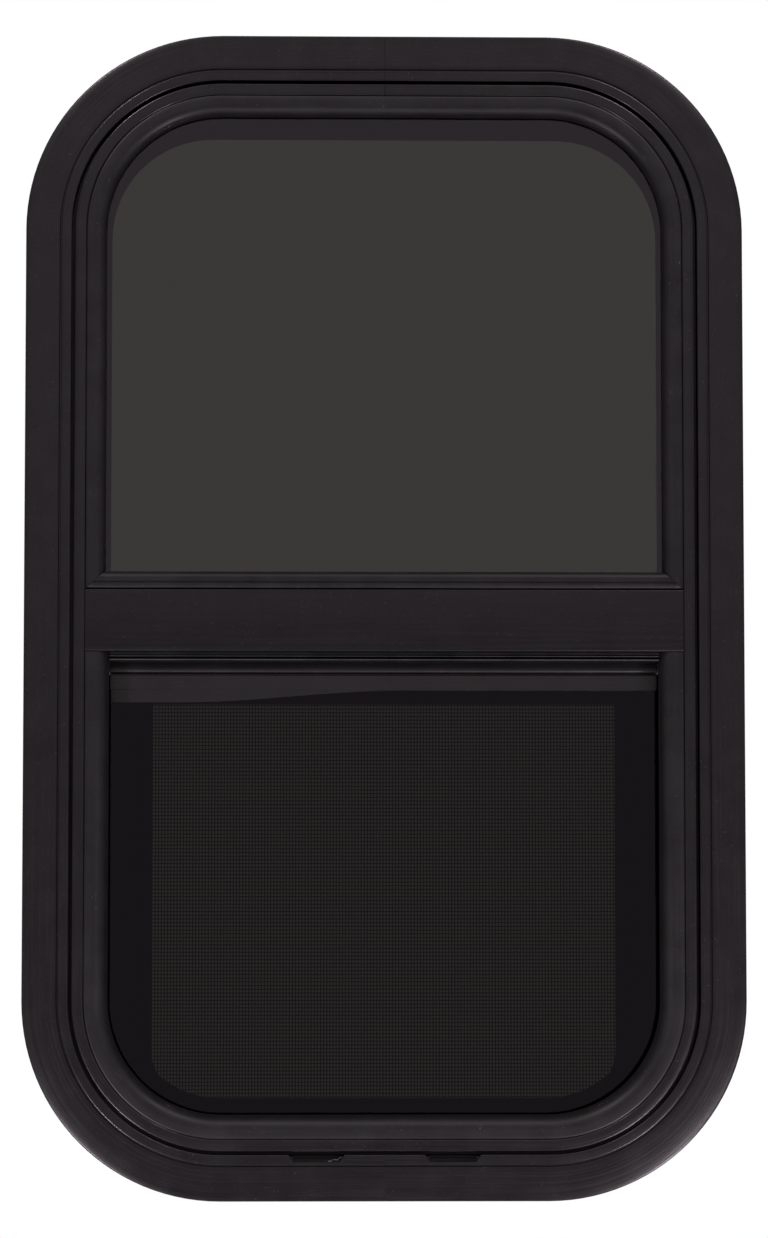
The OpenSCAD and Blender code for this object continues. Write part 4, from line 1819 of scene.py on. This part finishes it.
@dataclass
class InsectScreen:
    """The insect screen: frame, top bar, woven mesh, spline, brush, seat and clips.

    The yarns are drawn twice as thick as real ones, as coarse as the weave needs to be to show
    through the tinted glass.
    """

    window: Window
    bar_w: float = 8.4
    depth: float = 5.0
    top_w: float = 7.0
    spline_w: float = 3.0
    spline_d: float = 2.5
    pitch_x: float = 1.49
    pitch_y: float = 1.76
    yarn_r: float = 0.3
    clip_w: float = 14.0
    clip_t: float = 1.2
    clip_reach: float = 3.6
    clip_step: float = 100.0
    bristle_step: float = 0.9

    @property
    def front(self) -> float:
        """Level of the screen frame's front."""
        return self.window.out_rear_back - 3.4

    @property
    def back(self) -> float:
        """Level of the screen frame's room side."""
        return self.front - self.depth

    @property
    def head(self) -> float:
        """Height of the screen's upper edge."""
        return self.window.rail_foot + 1

    @property
    def outer(self) -> float:
        """Inset of the screen frame's outer edge."""
        return self.window.in_rear + 0.4

    @property
    def half(self) -> float:
        """Half length of the top bar."""
        return self.window.half_w - self.outer - self.bar_w - 0.2

    def frame_loop(self) -> bpy.types.Object:
        """The frame round the foot and the sides, grooved for the spline.

        Returns:
            The frame.
        """
        inner = self.outer + self.bar_w
        groove = inner - 1.8
        floor = self.back + self.spline_d
        section = rounded([
            (self.outer, self.back, 0.5), (self.outer, self.front, 0.5), (inner, self.front, 0.5),
            (inner, self.back, 0.4), (groove, self.back, 0.3), (groove, floor, 0),
            (groove - self.spline_w, floor, 0), (groove - self.spline_w, self.back, 0.3),
        ], 4)
        return foot_loop(self.window, "screen_bars", section, self.head)

    def top_bar(self) -> bpy.types.Object:
        """The bar across the screen's head, with the same groove.

        Returns:
            The bar.
        """
        foot = self.head - self.top_w
        groove = foot + 1.8
        floor = self.back + self.spline_d
        section = rounded([
            (foot, self.back, 0.4), (foot, self.front, 0.5), (self.head, self.front, 0.5),
            (self.head, self.back, 0.5), (groove + self.spline_w, self.back, 0.3),
            (groove + self.spline_w, floor, 0), (groove, floor, 0), (groove, self.back, 0.3),
        ], 4)
        return crossbar(self.window, "screen_head_bar", section, self.half)

    def spline_section(self, low: float, high: float) -> list[Pair]:
        """Outline of the ribbed spline between two sides of the groove, flush with the frame.

        Args:
            low: One side.
            high: The other side.

        Returns:
            The outline as (across, out) points.
        """
        back = self.back
        middle, radius = ((low + high) / 2, back + 0.3), (high - low) / 2
        outline = [
            (low, back + 0.3), (low + 0.15, back + 0.6), (low, back + 0.9), (low + 0.15, back + 1.2),
            (low, back + 1.6), (low + 0.6, back + 2.3), (high - 0.6, back + 2.3), (high, back + 1.6),
            (high - 0.15, back + 1.2), (high, back + 0.9), (high - 0.15, back + 0.6), (high, back + 0.3),
            *arc(middle, radius, 0, -60, 3)[1:], *arc(middle, radius, -120, -180, 3)[:-1],
        ]
        return [(across, max(out, back)) for across, out in outline]

    def spline(self) -> bpy.types.Object:
        """The rubber spline round the foot, the sides and the head.

        Returns:
            The spline.
        """
        w = self.window
        inner = self.outer + self.bar_w - 2.0
        foot = self.head - self.top_w + 1.8
        round_foot = self.spline_section(inner - self.spline_w + 0.4, inner)
        across = self.spline_section(foot + 0.2, foot + self.spline_w - 0.2)
        loop = foot_loop(w, "spline_loop", round_foot, foot - 0.2)
        return join("screen_cord", [loop, crossbar(w, "spline_bar", across, self.half)])

    def yarns(self, name: str, upright: bool) -> bpy.types.Object:
        """One set of the mesh's yarns in a plain weave, cut to the screen's round corners.

        Args:
            name: Name of the piece.
            upright: True for the yarns along Y, False for those along X.

        Returns:
            The yarns as one mesh.
        """
        w = self.window
        edge = self.outer + self.bar_w - 1.8 - self.spline_w / 2
        half = w.half_w - edge
        foot, top = edge - w.half_h, self.head - self.top_w + 1.8 + self.spline_w / 2
        level = self.back - 2 * self.yarn_r
        columns, rows = int(half / self.pitch_x) * 2, int((top - foot) / self.pitch_y / 2) * 2
        x0, y0 = -columns / 2 * self.pitch_x, (foot + top) / 2 - rows / 2 * self.pitch_y
        step = Vector((0, 0, self.pitch_y)) if upright else Vector((self.pitch_x, 0, 0))
        count = rows if upright else columns
        swing = self.yarn_r if upright else -self.yarn_r
        start_clean()
        turn = (0.0, 0.0, 0.0) if upright else ACROSS
        bpy.ops.mesh.primitive_circle_add(
            vertices=3, radius=self.yarn_r * MM, location=w.at(x0, y0, level + swing), rotation=turn
        )
        bpy.ops.object.transform_apply(location=True, rotation=True, scale=True)
        bpy.ops.object.mode_set(mode="EDIT")
        for sign in (1, -1):
            bpy.ops.mesh.extrude_region_move(
                TRANSFORM_OT_translate={"value": (step + Vector((0, 2 * swing * sign, 0))) * MM}
            )
        bpy.ops.object.mode_set(mode="OBJECT")
        yarn = bpy.context.object
        repeat(yarn, count // 2, 2 * step, use_merge_vertices=True, merge_threshold=1e-5)
        bpy.ops.object.mode_set(mode="EDIT")
        bpy.ops.mesh.select_all(action="SELECT")
        bpy.ops.mesh.fill_holes(sides=4)
        bpy.ops.object.mode_set(mode="OBJECT")
        face_outwards(yarn)
        twin = copy_piece(yarn, "twin")
        across = Vector((self.pitch_x, 0, 0)) if upright else Vector((0, 0, self.pitch_y))
        for vertex in twin.data.vertices:
            vertex.co.x += across.x * MM
            vertex.co.z += across.z * MM
            vertex.co.y = 2 * -level * MM - vertex.co.y
        face_outwards(twin)
        pair = join(name, [yarn, twin])
        repeat(pair, (columns if upright else rows) // 2, 2 * across)
        self.round_corners(pair, half, foot)
        return pair

    def round_corners(self, piece: bpy.types.Object, half: float, foot: float) -> None:
        """Trims the yarns along both lower corners, which lie in the spline's groove.

        Args:
            piece: The yarns.
            half: Half the mesh's width.
            foot: Height of the mesh's lower edge.
        """
        w = self.window
        radius = w.corner_r - (w.half_w - half)
        select_only(piece)
        bpy.ops.object.mode_set(mode="EDIT")
        for side in (-1, 1):
            for angle in (9, 27, 45, 63, 81):
                slant = math.radians(angle)
                normal = Vector((side * math.cos(slant), 0, -math.sin(slant)))
                centre = w.at(side * (half - radius), foot + radius, 0)
                bpy.ops.mesh.select_all(action="SELECT")
                bpy.ops.mesh.bisect(
                    plane_co=centre + normal * radius * MM, plane_no=normal, use_fill=True, clear_outer=True
                )
        bpy.ops.object.mode_set(mode="OBJECT")

    def brush(self) -> bpy.types.Object:
        """The brush: a base strip with rows of bristles that reach to the sash glass.

        Returns:
            The brush.
        """
        w = self.window
        head = w.rail_foot - 0.9
        tip = w.out_sash_back - 0.6
        base_section = rounded([
            (head - 3, self.front, 0), (head - 3, self.front + 1.2, 0.3), (head, self.front + 1.2, 0.3),
            (head, self.front, 0),
        ], 3)
        base = crossbar(w, "brush_base", base_section, self.half, 2)
        start_clean()
        length = tip - self.front - 1.0
        bpy.ops.mesh.primitive_cone_add(
            vertices=5, radius1=0.42 * MM, radius2=0.16 * MM, depth=length * MM, rotation=OUTWARDS,
            location=w.at(0.4 - self.half, head - 0.8, self.front + 1.0 + length / 2),
        )
        bpy.ops.object.transform_apply(location=True, rotation=True, scale=True)
        tuft = bpy.context.object
        repeat(tuft, int((2 * self.half - 0.8) / self.bristle_step), (self.bristle_step, 0, 0))
        repeat(tuft, 3, (0.3, 0, -0.7))
        return join("brush_strip", [base, tuft])

    def clips(self) -> bpy.types.Object:
        """The four clips that hold the screen, each a bent tab with a stiffening rib.

        Returns:
            All four clips.
        """
        w = self.window
        face = w.half_w - w.in_rear
        middle = (self.head - w.bend_y) / 2
        half = self.clip_w / 2
        room = -w.wall_depth - w.trim_t + 0.6
        made = []
        for y in (-1, 1):
            at = middle + y * self.clip_step / 2
            made.append(block(
                w, "clip_tab", (face - self.clip_reach, at - half, self.back - self.clip_t),
                (face, at + half, self.back), 0.35,
            ))
            made.append(block(
                w, "clip_leg", (face - self.clip_t, at - half, room), (face, at + half, self.back), 0.35,
            ))
            made.append(block(
                w, "clip_rib", (face - self.clip_reach + 0.8, at - 0.7, self.back - self.clip_t),
                (face - self.clip_t, at + 0.7, self.back - 0.2), 0.2,
            ))
        right = join("clips_right", made)
        return join("screen_catches", [right, mirrored(right, "clips_left")])

    def build(self, dresser: Dresser) -> None:
        """Builds and dresses the screen.

        Args:
            dresser: Takes each finished piece.
        """
        dresser.piece(self.frame_loop(), WRINKLE_COAT, Body.FRAME, Slot.SCREEN, ["screen_frame"])
        dresser.piece(self.top_bar(), WRINKLE_COAT, Body.FRAME, Slot.SCREEN, ["screen_top_bar"])
        dresser.piece(self.spline(), EPDM, Body.FRAME, Slot.RUBBER, ["screen_spline"], smooth=50)
        warp, weft = self.yarns("mesh_warp", True), self.yarns("mesh_weft", False)
        dresser.piece(warp, COATED_YARN, Body.FRAME, Slot.MESH, ["screen_mesh"], 80)
        dresser.piece(weft, COATED_YARN, Body.FRAME, Slot.MESH, [], 80)
        dresser.piece(self.brush(), PILE, Body.FRAME, Slot.RUBBER, ["screen_brush"])
        dresser.piece(self.clips(), NYLON, Body.FRAME, Slot.PLASTIC, ["screen_clips"])
        dresser.node("screen_seat", NYLON)


@dataclass
class ClampRing:
    """The trim ring on the room side and its screws."""

    window: Window
    trim_inset: float = 6.0
    edge: float = 0.6
    screw_r: float = 1.6
    head_r: float = 3.6
    head_h: float = 2.2
    screw_len: float = 12.0
    screw_step: float = 100.0

    @property
    def face(self) -> float:
        """Level of the ring's room face."""
        return -self.window.wall_depth - self.window.trim_t

    def section(self) -> list[Pair]:
        """Outline of the ring with the leg that reaches to the glazing frame.

        Returns:
            The outline as (inset, out) points.
        """
        w = self.window
        out = -w.wall_depth
        leg, grip, e = w.in_rear - w.wall_t, w.in_lip + 1.2, self.edge
        return [
            (self.trim_inset, out), (grip, out), (grip, out - 0.3), (leg, out - 0.3),
            (leg, w.out_rear_back), (w.in_rear, w.out_rear_back),
            *arc((w.in_rear - e, self.face + e), e, 0, -90),
            *arc((self.trim_inset + e, self.face + e), e, -90, -180),
        ]

    def places(self) -> list[Pair]:
        """Places of the screws: four on each side, two on the head and two on the foot.

        Returns:
            Their drawn X and Y.
        """
        w = self.window
        inset = w.in_web + w.wall_t + w.port_w / 2
        side_x, end_y, step = w.half_w - inset, w.half_h - inset, self.screw_step
        sides = [(x * side_x, y * step) for x in (-1, 1) for y in (-1.5, -0.5, 0.5, 1.5)]
        ends = [(x * step / 2, y * end_y) for x in (-1, 1) for y in (-1, 1)]
        return sides + ends

    def drill(self, piece: bpy.types.Object) -> None:
        """Drills the ring for its screws.

        Args:
            piece: The ring.
        """
        w, radius = self.window, self.screw_r + 0.4
        places = [(x, y, self.face) for x, y in self.places()]
        cut(piece, join("holes", [cylinder(w, place, radius, 6, OUTWARDS, 32) for place in places]))

    def screw(self) -> bpy.types.Object:
        """One pan-head screw with a cross recess and a grooved shank, at the middle of the ring.

        Returns:
            The screw.
        """
        w = self.window
        middle = (0, 0, self.face - self.head_h / 2)
        head = cylinder(w, middle, self.head_r, self.head_h, OUTWARDS)
        bpy.ops.object.mode_set(mode="EDIT")
        bpy.ops.mesh.select_all(action="DESELECT")
        mesh = bmesh.from_edit_mesh(head.data)
        for face in mesh.faces:
            face.select = face.normal.y > 0.9
        bmesh.update_edit_mesh(head.data)
        bpy.ops.mesh.bevel(offset=1.3 * MM, segments=6, affect="EDGES")
        bpy.ops.object.mode_set(mode="OBJECT")
        arms = []
        for wide, high in ((3.4, 0.75), (0.75, 3.4)):
            low = (-wide / 2, -high / 2, self.face - self.head_h - 0.5)
            arms.append(block(w, "arm", low, (wide / 2, high / 2, self.face - self.head_h + 1.3), 0))
        for arm in arms:
            cut(head, arm)
        start_clean()
        bpy.ops.mesh.primitive_circle_add(
            vertices=20, radius=self.screw_r * MM, fill_type="NGON",
            location=w.at(0, 0, self.face - 0.2), rotation=OUTWARDS,
        )
        shank = bpy.context.object
        bpy.ops.object.transform_apply(location=True, rotation=True, scale=True)
        bpy.ops.object.mode_set(mode="EDIT")
        turns = 11
        step = self.screw_len / (2 * turns + 2)
        for i in range(2 * turns):
            scale = 0.8 if i % 2 == 0 else 1.25
            bpy.ops.mesh.extrude_region_move(TRANSFORM_OT_translate={"value": (0, -step * MM, 0)})
            bpy.ops.transform.resize(value=(scale, 1, scale))
        bpy.ops.mesh.extrude_region_move(TRANSFORM_OT_translate={"value": (0, -2 * step * MM, 0)})
        bpy.ops.transform.resize(value=(0.3, 1, 0.3))
        close_mesh()
        return join("ring_screw", [head, shank])

    def screws(self) -> bpy.types.Object:
        """All screws, each a copy of the first, turned a little differently.

        Returns:
            The screws as one piece.
        """
        first = self.screw()
        made = []
        for i, (x, y) in enumerate(self.places()):
            twin = copy_piece(first, f"ring_screw_{i + 1}")
            twin.location = Vector((x, 0, y)) * MM
            angle = math.radians(23 * i % 90)
            pivot = self.window.at(0, 0, 0)
            for vertex in twin.data.vertices:
                spot = vertex.co - pivot
                vertex.co.x = spot.x * math.cos(angle) - spot.z * math.sin(angle) + pivot.x
                vertex.co.z = spot.x * math.sin(angle) + spot.z * math.cos(angle) + pivot.z
            made.append(twin)
        bpy.data.objects.remove(first)
        start_clean()
        for twin in made:
            twin.select_set(True)
        bpy.context.view_layer.objects.active = made[0]
        bpy.ops.object.transform_apply(location=True, rotation=True, scale=True)
        return join("ring_screws", made)

    def build(self, dresser: Dresser) -> None:
        """Builds and dresses the ring and its screws.

        Args:
            dresser: Takes each finished piece.
        """
        ring = closed_ring(self.window, "trim_ring", self.section())
        self.drill(ring)
        dresser.piece(ring, POWDER_COAT, Body.FRAME, Slot.COAT, ["clamp_ring"], run="ring")
        dresser.piece(self.screws(), BLACK_ZINC, Body.FRAME, Slot.SCREW, ["clamp_screws"])


@dataclass
class Studio:
    """White surroundings, a pale floor far below, plain soft lamps and the photo's camera."""

    window: Window
    focal_px: float = 4237.0
    image_w: int = 768
    image_h: int = 1238
    centre_px: Pair = (384.67, 613.21)
    camera_at: tuple[float, float, float] = (-0.0454, -1.9938, 0.117)
    floor_drop: float = 0.45
    floor_r: float = 6.7
    floor_back: float = 5.4

    def world(self) -> None:
        """White for the eye, for reflections and through glass, and grey as a source of light."""
        world = bpy.data.worlds.new("studio")
        bpy.context.scene.world = world
        world.use_nodes = True
        tree = world.node_tree
        tree.nodes.clear()
        path = add(tree, "ShaderNodeLightPath")
        seen = path.outputs["Is Camera Ray"]
        for ray in ("Is Transmission Ray", "Is Glossy Ray"):
            either = {0: seen, 1: path.outputs[ray]}
            seen = add(tree, "ShaderNodeMath", either, operation="MAXIMUM").outputs[0]
        colour = blended(tree, seen, (0.5, 0.5, 0.5, 1), (1, 1, 1, 1))
        shade = add(tree, "ShaderNodeBackground", {"Color": colour, "Strength": 1.0})
        add(tree, "ShaderNodeOutputWorld", {"Surface": shade.outputs[0]})

    def floor(self) -> None:
        """A pale floor disc, low enough to stay out of the photo's view."""
        start_clean()
        low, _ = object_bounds()
        bpy.ops.mesh.primitive_circle_add(
            vertices=96, radius=self.floor_r, fill_type="NGON",
            location=(0, self.floor_back - self.floor_r, low[2] - self.floor_drop),
        )
        floor = named(bpy.context.object, "floor")
        material, tree = blank("pale_floor")
        shade = add(tree, "ShaderNodeBsdfDiffuse", {"Color": linear("#cfcfce")})
        add(tree, "ShaderNodeOutputMaterial", {"Surface": shade.outputs[0]})
        floor.data.materials.append(material)
        floor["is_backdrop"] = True

    def lamp(
        self, name: str, place: Sequence[float], size: Pair, power: float, shows: bool = True
    ) -> None:
        """Adds a soft rectangular lamp that faces the window's centre.

        Args:
            name: Name of the lamp.
            place: Its place in the frame, in metres.
            size: Its width and height in metres.
            power: Its power in watts.
            shows: Whether it is seen in glass and on metal.
        """
        light = bpy.data.lights.new(name, "AREA")
        light.shape = "RECTANGLE"
        light.size, light.size_y = size
        light.energy = power
        lamp = bpy.data.objects.new(name, light)
        lamp.location = place
        aim = self.window.at(0, 0, 0) - Vector(place)
        lamp.rotation_euler = aim.to_track_quat("-Z", "Y").to_euler()
        lamp.visible_camera = False
        lamp.visible_transmission = False
        lamp.visible_glossy = shows
        bpy.context.scene.collection.objects.link(lamp)

    def camera(self) -> None:
        """The photo's camera, with its frame taken as 768 x 1238 pixels."""
        data = bpy.data.cameras.new("photo_camera")
        data.sensor_fit = "VERTICAL"
        data.sensor_height = 24.0
        data.lens = data.sensor_height * self.focal_px / self.image_h
        data.shift_x = (self.image_w / 2 - self.centre_px[0]) / self.image_h
        data.shift_y = (self.centre_px[1] - self.image_h / 2) / self.image_h
        data.clip_start, data.clip_end = 0.05, 60
        camera = bpy.data.objects.new("photo_camera", data)
        camera.location = self.camera_at
        aim = self.window.at(0, 0, 0) - Vector(self.camera_at)
        camera.rotation_euler = aim.to_track_quat("-Z", "Y").to_euler()
        bpy.context.scene.collection.objects.link(camera)
        bpy.context.scene.camera = camera

    def build(self) -> None:
        """Sets up the surroundings."""
        self.world()
        self.floor()
        self.lamp("overhead_softbox", (0.1, -1.0, 1.9), (1.2, 0.6), 8)
        self.lamp("left_strip", (-1.4, -0.8, 0.4), (0.12, 1.2), 3, shows=False)
        self.lamp("right_strip", (1.4, -0.8, 0.3), (0.12, 1.2), 3, shows=False)
        self.lamp("upper_left", (-0.48, -0.75, 1.15), (0.16, 0.16), 16)
        self.lamp("upper_right", (0.43, -0.75, 1.15), (0.16, 0.16), 14)
        self.lamp("lower_left", (-0.43, -0.5, -0.3), (0.12, 0.12), 12)
        self.lamp("lower_right", (0.4, -0.5, -0.32), (0.12, 0.12), 12)
        self.lamp("glare_left", (-0.46, -1.1, -0.28), (0.16, 0.16), 2.0)
        self.lamp("glare_right", (0.49, -1.14, -0.27), (0.16, 0.16), 4.5)
        self.lamp("front_softbox", (0.05, -2.6, 0.857), (1.4, 0.8), 2.8)
        self.lamp("room_fill", (0.3, 1.8, 0.8), (1.2, 1.2), 10)
        self.camera()
        bpy.context.scene.view_settings.view_transform = "Standard"


def main() -> None:
    """Builds the window's sub-assemblies in order, then the studio."""
    logging.basicConfig(level=logging.INFO, format="%(name)s: %(message)s")
    window = Window.from_frame()
    dresser = Dresser(window)
    parts: list[Callable[[Dresser], None]] = [
        FlangeRing(window).build, GlazingFrame(window).build, FixedGlazing(window).build,
        MiddleBar(window).build, SashOpening(window).build, Sash(window).build,
        InsectScreen(window).build, ClampRing(window).build,
    ]
    for build in parts:
        build(dresser)
    start_clean()
    Studio(window).build()
    LOG.info("%d new pieces", dresser.count)


if __name__ == "__main__":
    main()
